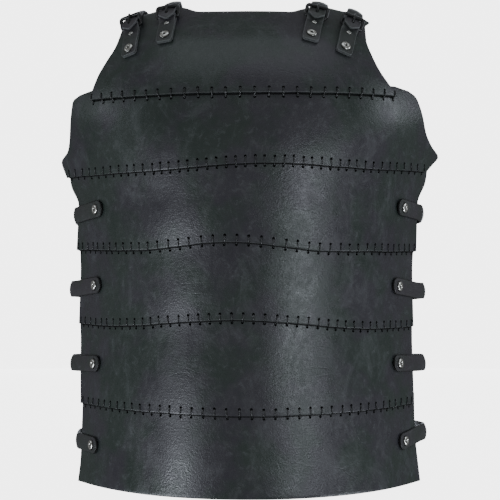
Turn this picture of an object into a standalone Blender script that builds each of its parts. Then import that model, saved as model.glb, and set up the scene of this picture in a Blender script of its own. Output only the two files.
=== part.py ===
"""Leather cuirass: a breastplate and a backplate of six lapped leather bands each.

Eight side straps and four shoulder straps join the plates. Metres, +Z up, the front
faces -Y, and the hem stands on Z = 0. The lacing along the laps isn't modelled here.
"""

import math

import bmesh
import bpy
import numpy as np
from mathutils import Vector
from mathutils.bvhtree import BVHTree

# Driving sizes
HEIGHT = 0.527          # hem to just over the middle of the neckline
WIDTH = 0.424           # across the chest at the armpits, but for the wings' points
FRONT_DEPTH = 0.172     # mid plane to the breast
BACK_DEPTH = 0.112      # mid plane to the shoulder blades
SIDE_GAP = 0.034        # between breastplate and backplate at the waist
ARMHOLE_REACH = 0.050   # how far each plate's edge stands clear of the arm
LEATHER = 0.003         # wall of a band
LAP = 0.012             # how far a band runs under the one above it
SEAT = 0.0004           # clearance between pieces that lie on each other

STRAP_WIDTH = 0.0185
STRAP_LEATHER = 0.0026
STRAP_TIP = 0.0125      # rivet to the round end of a side strap
PAST_EDGE = 0.004       # how far a side strap runs straight on past a plate's edge
STUD_INSET = 0.034      # backplate's side edge to the stud that holds the strap's other end
HEAD_RADIUS = 0.0053    # rivet and stud heads
HEAD_HEIGHT = 0.0022
SHANK_RADIUS = 0.0018
BURR_RADIUS = 0.0036    # the washer that a rivet is closed on, inside the plate
BURR_HEIGHT = 0.0012
BURR_SEAT = 0.0008      # clearance of a flat washer on the hollow side of a bent band
HOLE_CLEARANCE = 0.0005
SMALL_HEAD_RADIUS = 0.0032  # the upper rivet of a shoulder tab
SMALL_HEAD_HEIGHT = 0.0014
SMALL_SHANK_RADIUS = 0.0012

TAB_LEATHER = 0.0040    # a strip folded double round the buckle's fixed bar
TAB_LENGTH = 0.0410     # foot of a shoulder tab to the fixed bar
TAB_FOOT = 0.0090       # foot to the lower rivet
TAB_RIVET_PITCH = 0.0205  # lower rivet to upper rivet
EYE_WALL = 0.0018       # leather at the fold
BUCKLE_WIRE = 0.0015    # radius
BUCKLE_LENGTH = 0.0135  # fixed bar to far bar
BUCKLE_CORNER = 0.0022  # bend radius of the frame's corners
BUCKLE_PLAY = 0.0012    # strap's edge to the frame, each side
BUCKLE_RISE = math.radians(26)  # the far bar stands up over the strap
PRONG_RADIUS = 0.0011
TIP_OVERHANG = 0.0075   # fixed bar to the point of the shoulder strap
TOUCHDOWN = 0.0085      # far bar to where the strap lies on the plate again
SHOULDER_LAP = 0.034    # how far a shoulder strap runs down the backplate
SHOULDER_RIVET = 0.012  # its end to its rivet
FRONT_PULL = 0.012      # how stiffly a shoulder strap leaves the breastplate
BACK_PULL = 0.034       # and the backplate
BACK_PITCH = 0.8        # height of a run along the top of the backplate, as a share of the run
STRIP_CORNER = 0.002    # how much the square ends of tabs and straps are narrowed
POINT_WIDTH = 0.15      # width left at a strap's point, as a share of the strap's

# The prong's bend over the fold: share of the run to the far bar, share of its height there
PRONG_BEND = ((0.16, 0.6), (0.42, 1.0))
SINK_PLACE = 0.40       # where the strap starts to sink behind the fold, share of the same run
SINK_HEIGHT = 0.85      # and its height there, as a share of the height over the fold

# Mesh fineness
FRONT_COLUMNS = 16
BACK_COLUMNS = 10
BODY_ROWS = 2
ROUND_SIDES = 8
HOLE_SIDES = 6
WIRE_SIDES = 6
SIDE_STRAP_SPANS = 5    # spans of a strap's free bend
SHOULDER_SPANS = 6
SHARED_REACH = 0.68     # share of the bent length where all bands have the same columns
ROW_SPACING = 0.07      # least distance between rows, as a share of the band's height
SHEET_SAMPLES = 500
PROBE = 0.002           # step that a surface's slope is measured over
SHARP_ANGLE = math.radians(40)
TINY = 1e-10

# Shape of a plate at each height, as shares of HEIGHT, WIDTH / 2, ARMHOLE_REACH and the depth:
# height, half width of the bend, edge's reach from the arm, crown
FRONT_FORM = (
    (0.000, 0.915, 0.00, 0.980),
    (0.165, 0.892, 0.00, 0.958),
    (0.330, 0.886, 0.00, 0.942),
    (0.490, 0.900, 0.00, 0.965),
    (0.590, 0.925, 0.02, 0.992),
    (0.670, 0.950, 0.30, 1.000),
    (0.750, 0.945, 0.75, 0.985),
    (0.820, 0.890, 0.96, 0.935),
    (0.915, 0.765, 0.88, 0.785),
    (0.965, 0.722, 0.52, 0.625),
    (1.015, 0.678, 0.06, 0.395),
)
BACK_FORM = (
    (0.000, 0.915, 0.00, 0.920),
    (0.165, 0.892, 0.00, 0.840),
    (0.330, 0.886, 0.00, 0.810),
    (0.490, 0.900, 0.00, 0.870),
    (0.590, 0.925, 0.04, 0.940),
    (0.670, 0.950, 0.30, 0.985),
    (0.750, 0.945, 0.75, 1.000),
    (0.820, 0.890, 0.96, 0.985),
    (0.915, 0.765, 0.86, 0.880),
    (1.015, 0.680, 0.40, 0.580),
)
FRONT_EDGE_ANGLE = math.radians(64)  # how far the sheet has turned at its side edge
BACK_EDGE_ANGLE = math.radians(52)

# Lower edge of each band but the last: height at the sides, rise in the middle and slope
# to the left side as shares of HEIGHT, and the rise's half width and place across as shares
# of WIDTH / 2
FRONT_SEAMS = (
    (0.8100, 0.000, 0.004, 0.60, 0.00),
    (0.6610, 0.010, 0.006, 0.60, 0.06),
    (0.4970, 0.018, -0.002, 0.50, -0.08),
    (0.3370, 0.021, -0.003, 0.75, -0.05),
    (0.1690, -0.003, 0.000, 0.60, 0.05),
)
BACK_SEAMS = (
    (0.8100, 0.000, 0.000, 0.60, 0.00),
    (0.6610, 0.006, 0.000, 0.60, 0.00),
    (0.4970, 0.012, 0.000, 0.60, 0.00),
    (0.3370, 0.012, 0.000, 0.75, 0.00),
    (0.1690, 0.000, 0.000, 0.60, 0.00),
)

# Side outline of each band from its top edge down: share of the band's height,
# wearer's right edge (-X) and left edge (+X) as shares of WIDTH / 2
FRONT_EDGES = (
    (
        (0.00, 0.655, 0.640), (0.12, 0.668, 0.612), (0.30, 0.690, 0.612),
        (0.50, 0.738, 0.640), (0.68, 0.778, 0.676), (0.85, 0.804, 0.725), (1.00, 0.826, 0.768),
    ),
    (
        (0.00, 0.800, 0.755), (0.045, 0.880, 0.832), (0.12, 0.922, 0.876), (0.30, 0.932, 0.908),
        (0.54, 0.940, 0.935), (0.68, 0.954, 0.972), (0.80, 0.998, 1.016), (0.89, 0.988, 0.986),
        (1.00, 0.968, 0.945),
    ),
    ((0.00, 0.960, 0.960), (0.22, 0.950, 0.948), (0.46, 0.906, 0.904), (1.00, 0.922, 0.898)),
    ((0.00, 0.906, 0.886), (0.35, 0.900, 0.877), (1.00, 0.914, 0.884)),
    ((0.00, 0.910, 0.877), (0.40, 0.902, 0.876), (1.00, 0.900, 0.884)),
    ((0.00, 0.890, 0.890), (0.40, 0.896, 0.892), (0.75, 0.902, 0.908), (1.00, 0.917, 0.922)),
)
BACK_EDGES = (
    (
        (0.00, 0.648, 0.648), (0.12, 0.640, 0.640), (0.30, 0.650, 0.650),
        (0.50, 0.690, 0.690), (0.68, 0.727, 0.727), (0.85, 0.765, 0.765), (1.00, 0.800, 0.800),
    ),
    (
        (0.00, 0.780, 0.780), (0.045, 0.856, 0.856), (0.12, 0.899, 0.899), (0.30, 0.920, 0.920),
        (0.54, 0.936, 0.936), (0.80, 0.950, 0.950), (1.00, 0.945, 0.945),
    ),
    ((0.00, 0.940, 0.940), (0.46, 0.905, 0.905), (1.00, 0.910, 0.910)),
    ((0.00, 0.896, 0.896), (1.00, 0.899, 0.899)),
    ((0.00, 0.893, 0.893), (1.00, 0.892, 0.892)),
    ((0.00, 0.890, 0.890), (0.60, 0.897, 0.897), (1.00, 0.920, 0.920)),
)

# Top edge from -X to +X: share of WIDTH / 2 across, share of HEIGHT up
FRONT_NECKLINE = (
    (-0.670, 0.973), (-0.560, 0.991), (-0.500, 0.996), (-0.400, 1.009), (-0.340, 1.005),
    (-0.250, 0.993), (0.000, 0.992), (0.210, 0.991), (0.285, 1.000), (0.360, 1.009),
    (0.470, 1.001), (0.560, 0.993), (0.640, 0.975),
)
BACK_NECKLINE = (
    (-0.680, 0.945), (-0.620, 0.957), (-0.500, 0.972), (-0.390, 0.985), (-0.320, 0.978),
    (-0.250, 0.970), (0.000, 0.966), (0.250, 0.970), (0.320, 0.978), (0.390, 0.985),
    (0.500, 0.972), (0.620, 0.957), (0.680, 0.945),
)

# Side straps: side (-1 is the wearer's right), number from the top, height of the rivet as a
# share of HEIGHT, breastplate's edge to the rivet, fall from the rivet to the edge and how
# loosely the strap bows past the edges as a share of the gap
SIDE_STRAPS = (
    (-1, 1, 0.5845, 0.050, 0.0055, 0.06),
    (-1, 2, 0.4240, 0.044, 0.0040, 0.48),
    (-1, 3, 0.2570, 0.041, 0.0015, 0.50),
    (-1, 4, 0.0845, 0.035, -0.0010, 0.14),
    (1, 1, 0.5880, 0.041, 0.0040, 0.14),
    (1, 2, 0.4220, 0.041, 0.0045, 0.38),
    (1, 3, 0.2590, 0.039, 0.0020, 0.44),
    (1, 4, 0.0930, 0.034, -0.0035, 0.50),
)

# Shoulder fastenings from -X to +X: name, fixed bar across and up, lean of the tab in
# degrees and place on the backplate across, the lengths as shares of WIDTH / 2 and HEIGHT
SHOULDERS = (
    ("right_outer", -0.592, 0.9555, 1.0, -0.560),
    ("right_inner", -0.408, 0.9715, 3.5, -0.400),
    ("left_inner", 0.340, 0.9710, 10.0, 0.400),
    ("left_outer", 0.516, 0.9525, 14.0, 0.590),
)

BAND_BLACK = ("band_leather", (0.022, 0.024, 0.025), 0.45, 0.0)
STRAP_BLACK = ("strap_leather", (0.018, 0.018, 0.020), 0.50, 0.0)
BLACK_STEEL = ("blackened_steel", (0.030, 0.032, 0.032), 0.35, 0.9)
RIVET_NICKEL = ("rivet_nickel", (0.45, 0.45, 0.43), 0.30, 1.0)


def clear_scene():
    for found in list(bpy.data.objects):
        bpy.data.objects.remove(found)


def material(look):
    """The material of a (name, colour, roughness, metallic) look, made once."""
    name, colour, roughness, metallic = look
    made = bpy.data.materials.get(name)
    if made is None:
        made = bpy.data.materials.new(name)
        made.use_nodes = True
        shader = made.node_tree.nodes["Principled BSDF"]
        shader.inputs["Base Color"].default_value = (*colour, 1.0)
        shader.inputs["Roughness"].default_value = roughness
        shader.inputs["Metallic"].default_value = metallic
    return made


def add_object(name, points, faces, look):
    """A closed mesh object with its faces pointing out."""
    mesh = bpy.data.meshes.new(name)
    mesh.from_pydata([tuple(p) for p in points], [], faces)
    work = bmesh.new()
    work.from_mesh(mesh)
    bmesh.ops.recalc_face_normals(work, faces=work.faces)
    work.to_mesh(mesh)
    work.free()
    mesh.shade_smooth()
    mesh.set_sharp_from_angle(angle=SHARP_ANGLE)
    mesh.materials.append(material(look))
    made = bpy.data.objects.new(name, mesh)
    bpy.context.scene.collection.objects.link(made)
    return made


def as_cutter(made):
    made.hide_render = True
    made.display_type = "WIRE"
    return made


def boolean(made, operation, other):
    change = made.modifiers.new(f"{operation.lower()}_{other.name}", "BOOLEAN")
    change.operation = operation
    change.solver = "EXACT"
    change.object = other
    as_cutter(other)


def smooth_value(rows, column, at):
    """A column of a table at a place between its rows, on a curve that never overshoots."""
    places = [row[0] for row in rows]
    values = [row[column] for row in rows]
    if at <= places[0]:
        return values[0]
    last = len(rows) - 1
    k = min(int(np.searchsorted(places, at, side="right")) - 1, last - 1)

    def slope(i):
        if i <= 0 or i >= last:
            j = max(0, min(i, last - 1))
            return (values[j + 1] - values[j]) / (places[j + 1] - places[j])
        before = (values[i] - values[i - 1]) / (places[i] - places[i - 1])
        after = (values[i + 1] - values[i]) / (places[i + 1] - places[i])
        return 0.0 if before * after <= 0 else 2 * before * after / (before + after)

    step = places[k + 1] - places[k]
    t = (at - places[k]) / step
    if t > 1:
        return values[k + 1] + slope(k + 1) * (at - places[k + 1])
    first, second = slope(k) * step, slope(k + 1) * step
    rise = values[k + 1] - values[k]
    return values[k] + t * (first + t * (3 * rise - 2 * first - second + t * (first + second - 2 * rise)))


class BentSheet:
    """Section of a flat sheet pulled round by its two side edges, past which it runs straight."""

    def __init__(self, edge_angle):
        self.length = np.linspace(0, 1.5, SHEET_SAMPLES)
        turn = edge_angle * np.sin(math.pi / 2 * np.minimum(self.length, 1))
        step = self.length[1]
        across = np.concatenate(([0], np.cumsum(np.cos((turn[1:] + turn[:-1]) / 2)) * step))
        fall = np.concatenate(([0], np.cumsum(np.sin((turn[1:] + turn[:-1]) / 2)) * step))
        self.across = across / np.interp(1, self.length, across)
        self.fall = fall / np.interp(1, self.length, fall)

    def fall_at(self, across):
        """0 at the crown and 1 at the side edge, for 0 to 1 across."""
        return float(np.interp(abs(across), self.across, self.fall))

    def across_at(self, length):
        """How far across a share of the sheet's half length lies."""
        return math.copysign(float(np.interp(abs(length), self.length, self.across)), length)


class Plate:
    """A breastplate or backplate. facing is -1 for the front and 1 for the back."""

    def __init__(self, name, facing, depth, edge_angle, form, seams, edges, neckline, columns):
        self.name = name
        self.facing = facing
        self.depth = depth
        self.sheet = BentSheet(edge_angle)
        self.form = form
        self.seams = seams
        self.edges = edges
        self.neckline = neckline
        self.columns = columns
        self.last = len(seams)
        self.trees = []

    def bend_half_width(self, z):
        return WIDTH / 2 * smooth_value(self.form, 1, z / HEIGHT)

    def base(self, x, z):
        """The inner face of the leather where no band laps another."""
        share = z / HEIGHT
        edge = SIDE_GAP / 2 + ARMHOLE_REACH * smooth_value(self.form, 2, share)
        crown = self.depth * smooth_value(self.form, 3, share)
        fall = self.sheet.fall_at(x / self.bend_half_width(z))
        return Vector((x, self.facing * (crown + (edge - crown) * fall), z))

    def normal(self, x, z):
        along = self.base(x + PROBE, z) - self.base(x - PROBE, z)
        up = self.base(x, z + PROBE) - self.base(x, z - PROBE)
        return (along.cross(up) * -self.facing).normalized()

    def seam(self, band, x):
        """Height of a band's lower edge."""
        if band >= self.last:
            return 0.0
        level, rise, slope, width, middle = self.seams[band]
        share = x / (WIDTH / 2)
        bump = (1 + math.cos(math.pi * min(1.0, abs(share - middle) / width))) / 2
        return HEIGHT * (level + rise * bump + slope * share)

    def top(self, band, x):
        """Height of a band's upper edge, which lies under the band above."""
        if band == 0:
            return HEIGHT * smooth_value(self.neckline, 1, x / (WIDTH / 2))
        return self.seam(band - 1, x) + LAP

    def lift(self, band, x, z):
        """How far a band stands off the base, so that its lower edge clears the band below."""
        if band == self.last:
            return 0.0
        start = self.top(0, x) - LAP if band == 0 else self.seam(band - 1, x)
        end = self.seam(band, x) + LAP
        return (LEATHER + SEAT) * max(0.0, min(1.0, (start - z) / (start - end)))

    def band_at(self, x, z):
        for band in range(self.last):
            if z >= self.seam(band, x):
                return band
        return self.last

    def edge(self, band, side, share):
        """X of the base where the band's outer face has its side edge, a share of the way down."""
        x = side * WIDTH / 2 * smooth_value(self.edges[band], 1 if side < 0 else 2, share)
        z = self.top(band, x) + (self.seam(band, x) - self.top(band, x)) * share
        return x - side * abs(self.normal(x, z).x) * (self.lift(band, x, z) + LEATHER)

    def edge_at(self, side, z):
        """Where the plate's side edge is at a height."""
        x = side * WIDTH / 2 * self.edges[self.last][0][1]
        for _ in range(4):
            band = self.band_at(x, z)
            top, bottom = self.top(band, x), self.seam(band, x)
            x = self.edge(band, side, (top - z) / (top - bottom))
        return x

    def skin(self, x, z):
        """The outer face at a place, and its normal."""
        band = self.band_at(x, z)

        def outer(px, pz):
            return self.base(px, pz) + self.normal(px, pz) * (self.lift(band, px, pz) + LEATHER)

        along = outer(x + PROBE, z) - outer(x - PROBE, z)
        up = outer(x, z + PROBE) - outer(x, z - PROBE)
        return outer(x, z), (along.cross(up) * -self.facing).normalized()

    def rest(self, x, z, reach, lengthways):
        """Where something of a half width lies on the plate, clear of its flat facets, and the normal."""
        place, normal = self.skin(x, z)
        across = normal.cross(lengthways).normalized() * reach
        rises = [0.0]
        for way in (-1, 0, 1):
            start = place + across * way + normal * STRAP_WIDTH
            found = self.trees[self.band_at(x, z)].ray_cast(start, -normal, 2 * STRAP_WIDTH)[0]
            if found:
                rises.append((found - place).dot(normal))
        return place + normal * (max(rises) + SEAT), normal

    def grip(self, x, z, place, normal):
        """From a place above the plate to the hollow side of its band."""
        start = place - normal * STRAP_WIDTH
        found = self.trees[self.band_at(x, z)].ray_cast(start, normal)[0]
        return (place - found).length

    def inset(self, side, z, distance):
        """X at a distance along the leather from the side edge at a height."""
        edge = self.edge_at(side, z)
        places = np.linspace(edge, edge - side * distance, 40)
        points = [self.base(x, z) for x in places]
        run = np.cumsum([0] + [(b - a).length for a, b in zip(points, points[1:])])
        return float(np.interp(distance, run, places))


def row_places(plate, band):
    """Rows of a band's grid: share of the way down, and whether it is tied to the top or lower lap."""
    rows = [("top", 0.0)]
    if band:
        rows.append(("top", 1.0))
    rows += [("body", (k + 1) / (BODY_ROWS + 1)) for k in range(BODY_ROWS)]
    if band < plate.last:
        rows.append(("bottom", 1.0))
    rows.append(("bottom", 0.0))
    return rows


def row_height(plate, band, row, x):
    kind, share = row
    top, bottom = plate.top(band, x), plate.seam(band, x)
    if kind == "top":
        return top - share * LAP
    if kind == "bottom":
        return bottom + share * LAP
    start = top - LAP if band else top
    end = bottom + LAP if band < plate.last else bottom
    return start + (end - start) * share


def outline_rows(plate, band):
    """The grid's rows, with extra ones where the side outline turns sharply."""
    rows = row_places(plate, band)
    x = WIDTH / 2 * plate.edges[band][-1][1]
    top, bottom = plate.top(band, x), plate.seam(band, x)
    shares = [(top - row_height(plate, band, row, x)) / (top - bottom) for row in rows]
    start = top - LAP if band else top
    end = bottom + LAP if band < plate.last else bottom
    for share, *_ in plate.edges[band][1:-1]:
        near = min(abs(share - other) for other in shares)
        height = top - share * (top - bottom)
        if near > ROW_SPACING and end < height < start:
            rows.append(("body", (start - height) / (start - end)))
            shares.append(share)
        elif near > ROW_SPACING and height >= start:
            rows.append(("top", (top - height) / LAP))
            shares.append(share)
        elif near > ROW_SPACING:
            rows.append(("bottom", (height - bottom) / LAP))
            shares.append(share)
    order = sorted(range(len(rows)), key=lambda k: shares[k])
    return [rows[k] for k in order]


def column_places(plate, left, right, z):
    """X of each column of a row: shared columns over the bend, so laps nest, then the edges."""
    half = plate.bend_half_width(z)
    inner = plate.columns - 4
    shares = [SHARED_REACH * (2 * k / inner - 1) for k in range(inner + 1)]
    shared = [half * plate.sheet.across_at(share) for share in shares]
    first = [left + (shared[0] - left) * k / 2 for k in range(2)]
    last = [right + (shared[-1] - right) * k / 2 for k in range(2)]
    return first + shared + last[::-1]


def make_band(plate, band):
    """One lapped leather band, a bent sheet with the plate's outline."""
    outside, inside = [], []
    rows = outline_rows(plate, band)
    for row in rows:
        edges = []
        for side in (-1, 1):
            x = plate.edge(band, side, 0.5)
            for _ in range(3):
                top, bottom = plate.top(band, x), plate.seam(band, x)
                x = plate.edge(band, side, (top - row_height(plate, band, row, x)) / (top - bottom))
            edges.append(x)
        level = row_height(plate, band, row, 0.0)
        for x in column_places(plate, edges[0], edges[1], level):
            z = row_height(plate, band, row, x)
            base, normal = plate.base(x, z), plate.normal(x, z)
            lift = plate.lift(band, x, z)
            near, far = base + normal * lift, base + normal * (lift + LEATHER)
            if band == plate.last and row == ("bottom", 0.0):
                near.z = far.z = 0.0
            inside.append(near)
            outside.append(far)
    across, down = plate.columns + 1, len(rows)
    count = across * down
    faces = []
    for r in range(down - 1):
        for c in range(across - 1):
            a, b = r * across + c, r * across + c + 1
            d, e = a + across, b + across
            faces.append((a, b, e, d))
            faces.append((a + count, d + count, e + count, b + count))
    rim = [k for k in range(across)]
    rim += [r * across + across - 1 for r in range(1, down)]
    rim += [(down - 1) * across + c for c in range(across - 2, -1, -1)]
    rim += [r * across for r in range(down - 2, 0, -1)]
    for a, b in zip(rim, rim[1:] + rim[:1]):
        faces.append((a, a + count, b + count, b))
    made = add_object(f"{plate.name}_band_{band + 1}", outside + inside, faces, BAND_BLACK)
    plate.trees.append(BVHTree.FromPolygons(outside + inside, faces))
    return made


def make_strip(name, stations, thickness, look):
    """A leather strip through stations of (point on its inner face, normal, half width)."""
    points = []
    last = len(stations) - 1
    for k, (place, normal, half) in enumerate(stations):
        tangent = stations[min(k + 1, last)][0] - stations[max(k - 1, 0)][0]
        across = normal.cross(tangent).normalized()
        out = tangent.cross(across).normalized()
        for way in (-1, 1):
            points.append(place + across * half * way)
            points.append(place + across * half * way + out * thickness)
    faces = [(0, 2, 3, 1), (4 * last, 4 * last + 1, 4 * last + 3, 4 * last + 2)]
    for k in range(last):
        a, b = 4 * k, 4 * k + 4
        for p, q in ((0, 1), (1, 3), (3, 2), (2, 0)):
            faces.append((a + p, a + q, b + q, b + p))
    return add_object(name, points, faces, look)


def round_end(radius, steps=3):
    """Distances from a strip's round end and the half widths there."""
    turns = [math.pi / 2 * (k + 0.35) / steps for k in range(steps)]
    return [(radius * (1 - math.cos(t)), radius * math.sin(t)) for t in turns]


def frame_of(normal):
    """Two directions square to a normal."""
    side = normal.cross(Vector((0, 0, 1)))
    side = side.normalized() if side.length > 0.1 else Vector((1, 0, 0))
    return side, normal.cross(side)


def make_turned(name, place, normal, profile, sides, look):
    """A body turned about a normal from a profile of (radius, height), a point at each end."""
    side, other = frame_of(normal)
    points = [place + normal * profile[0][1]]
    for radius, height in profile[1:-1]:
        for k in range(sides):
            turn = 2 * math.pi * k / sides
            points.append(place + normal * height + (side * math.cos(turn) + other * math.sin(turn)) * radius)
    points.append(place + normal * profile[-1][1])
    rings = len(profile) - 2
    faces = []
    for k in range(sides):
        after = (k + 1) % sides
        faces.append((0, 1 + k, 1 + after))
        for r in range(rings - 1):
            a, b = 1 + r * sides, 1 + (r + 1) * sides
            faces.append((a + k, b + k, b + after, a + after))
        start = 1 + (rings - 1) * sides
        faces.append((len(points) - 1, start + after, start + k))
    return add_object(name, points, faces, look)


def make_rivet(name, place, normal, grip, head, height, shank):
    """A domed rivet. place is on the face that its head lies on, grip what it holds together."""
    burr = min(BURR_RADIUS, head)
    profile = (
        (0, SEAT + height), (head * 0.6, SEAT + height * 0.8), (head, SEAT), (shank, SEAT),
        (shank, -grip - BURR_SEAT), (burr, -grip - BURR_SEAT), (0, -grip - BURR_SEAT - BURR_HEIGHT),
    )
    return make_turned(name, place, normal, profile, ROUND_SIDES, RIVET_NICKEL)


def punch(name, place, normal, grip, shank, *leathers):
    """A rivet's hole through the leathers that it holds."""
    radius, past = shank + HOLE_CLEARANCE, 3 * BURR_SEAT
    profile = ((0, past), (radius, past), (radius, -grip - past), (0, -grip - past))
    cutter = make_turned(f"{name}_hole", place, normal, profile, HOLE_SIDES, RIVET_NICKEL)
    for leather in leathers:
        boolean(leather, "DIFFERENCE", cutter)


def make_tube(name, path, radius, sides, closed, look):
    """A round bar along a path of points."""
    count = len(path)
    points = []
    guide = (path[1] - path[0]).cross(path[2] - path[1])
    guide = guide if guide.length > TINY else frame_of((path[1] - path[0]).normalized())[0]
    for k, place in enumerate(path):
        before = path[k - 1] if closed or k else path[0]
        after = path[(k + 1) % count] if closed or k < count - 1 else path[-1]
        tangent = (after - before).normalized()
        side = guide.cross(tangent).normalized()
        other = tangent.cross(side)
        for j in range(sides):
            turn = 2 * math.pi * (j + 0.5) / sides
            points.append(place + (side * math.cos(turn) + other * math.sin(turn)) * radius)
    faces = []
    for k in range(count if closed else count - 1):
        a, b = k * sides, (k + 1) % count * sides
        for j in range(sides):
            after = (j + 1) % sides
            faces.append((a + j, a + after, b + after, b + j))
    if not closed:
        faces.append(tuple(range(sides)))
        faces.append(tuple(reversed(range((count - 1) * sides, count * sides))))
    return add_object(name, points, faces, look)


def bezier(a, b, c, d, steps):
    """Points of a cubic curve between its ends, the ends left out."""
    found = []
    for k in range(1, steps):
        t = k / steps
        u = 1 - t
        found.append(a * u ** 3 + b * 3 * u * u * t + c * 3 * u * t * t + d * t ** 3)
    return found


def turned_between(first, last, steps):
    """Normals between two, one for each point of a bezier of the same steps."""
    return [first.lerp(last, k / steps).normalized() for k in range(1, steps)]


def make_side_strap(front, back, row, bands):
    """A strap riveted to the breastplate that goes round the side to a stud on the backplate."""
    side, number, height, rivet_inset, fall, slack = row
    word = "right" if side < 0 else "left"
    half = STRAP_WIDTH / 2
    slope = fall / rivet_inset

    def level(plate, distance):
        """The strap's height at a distance from the plate's side edge."""
        if plate is front:
            return HEIGHT * height - slope * (rivet_inset - distance)
        return HEIGHT * height - slope * (rivet_inset + SIDE_GAP + distance)

    def stations(plate, inset):
        """From the round end to the plate's edge."""
        made = []
        ends = [(inset + STRAP_TIP - distance, width) for distance, width in round_end(half)]
        for distance, width in ends + [(inset * share, half) for share in (0.8, 0.4, 0.0)]:
            z = level(plate, distance)
            place, normal = plate.rest(plate.inset(side, z, distance), z, width, Vector((1, 0, 0)))
            made.append((place, normal, width))
        onward = (made[-1][0] - made[-2][0]).normalized()
        made.append((made[-1][0] + onward * PAST_EDGE, made[-1][1], half))
        return made

    fronts = stations(front, rivet_inset)
    backs = stations(back, STUD_INSET)[::-1]
    start, end = fronts[-1][0], backs[0][0]
    leave = (start - fronts[-2][0]).normalized()
    arrive = (end - backs[1][0]).normalized()
    reach = (end - start).length * slack
    middle = bezier(start, start + leave * reach, end + arrive * reach, end, SIDE_STRAP_SPANS)
    turns = turned_between(fronts[-1][1], backs[0][1], SIDE_STRAP_SPANS)
    path = fronts + [(place, normal, half) for place, normal in zip(middle, turns)] + backs
    strap = make_strip(f"{word}_side_strap_{number}", path, STRAP_LEATHER, STRAP_BLACK)
    for plate, inset, kind in ((front, rivet_inset, "rivet"), (back, STUD_INSET, "stud")):
        z = level(plate, inset)
        x = plate.inset(side, z, inset)
        place, normal = plate.rest(x, z, half, Vector((1, 0, 0)))
        place = place + normal * STRAP_LEATHER
        grip = plate.grip(x, z, place, normal)
        name = f"{word}_side_{kind}_{number}"
        make_rivet(name, place, normal, grip, HEAD_RADIUS, HEAD_HEIGHT, SHANK_RADIUS)
        punch(name, place, normal, grip, SHANK_RADIUS, strap, bands[plate.name][plate.band_at(x, z)])


def buckle_path(bar, across, along):
    """Centreline of a buckle's frame, from the middle of its fixed bar."""
    half = STRAP_WIDTH / 2 + BUCKLE_PLAY + BUCKLE_WIRE
    found = []
    for k, (way, far) in enumerate(((-1, 0), (1, 0), (1, 1), (-1, 1))):
        corner = bar + across * way * (half - BUCKLE_CORNER)
        corner = corner + along * (BUCKLE_LENGTH - BUCKLE_CORNER if far else BUCKLE_CORNER)
        for step in range(3):
            turn = math.pi / 2 * (k + step / 2) - math.pi
            found.append(corner + (across * math.cos(turn) + along * math.sin(turn)) * BUCKLE_CORNER)
    return found


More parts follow.
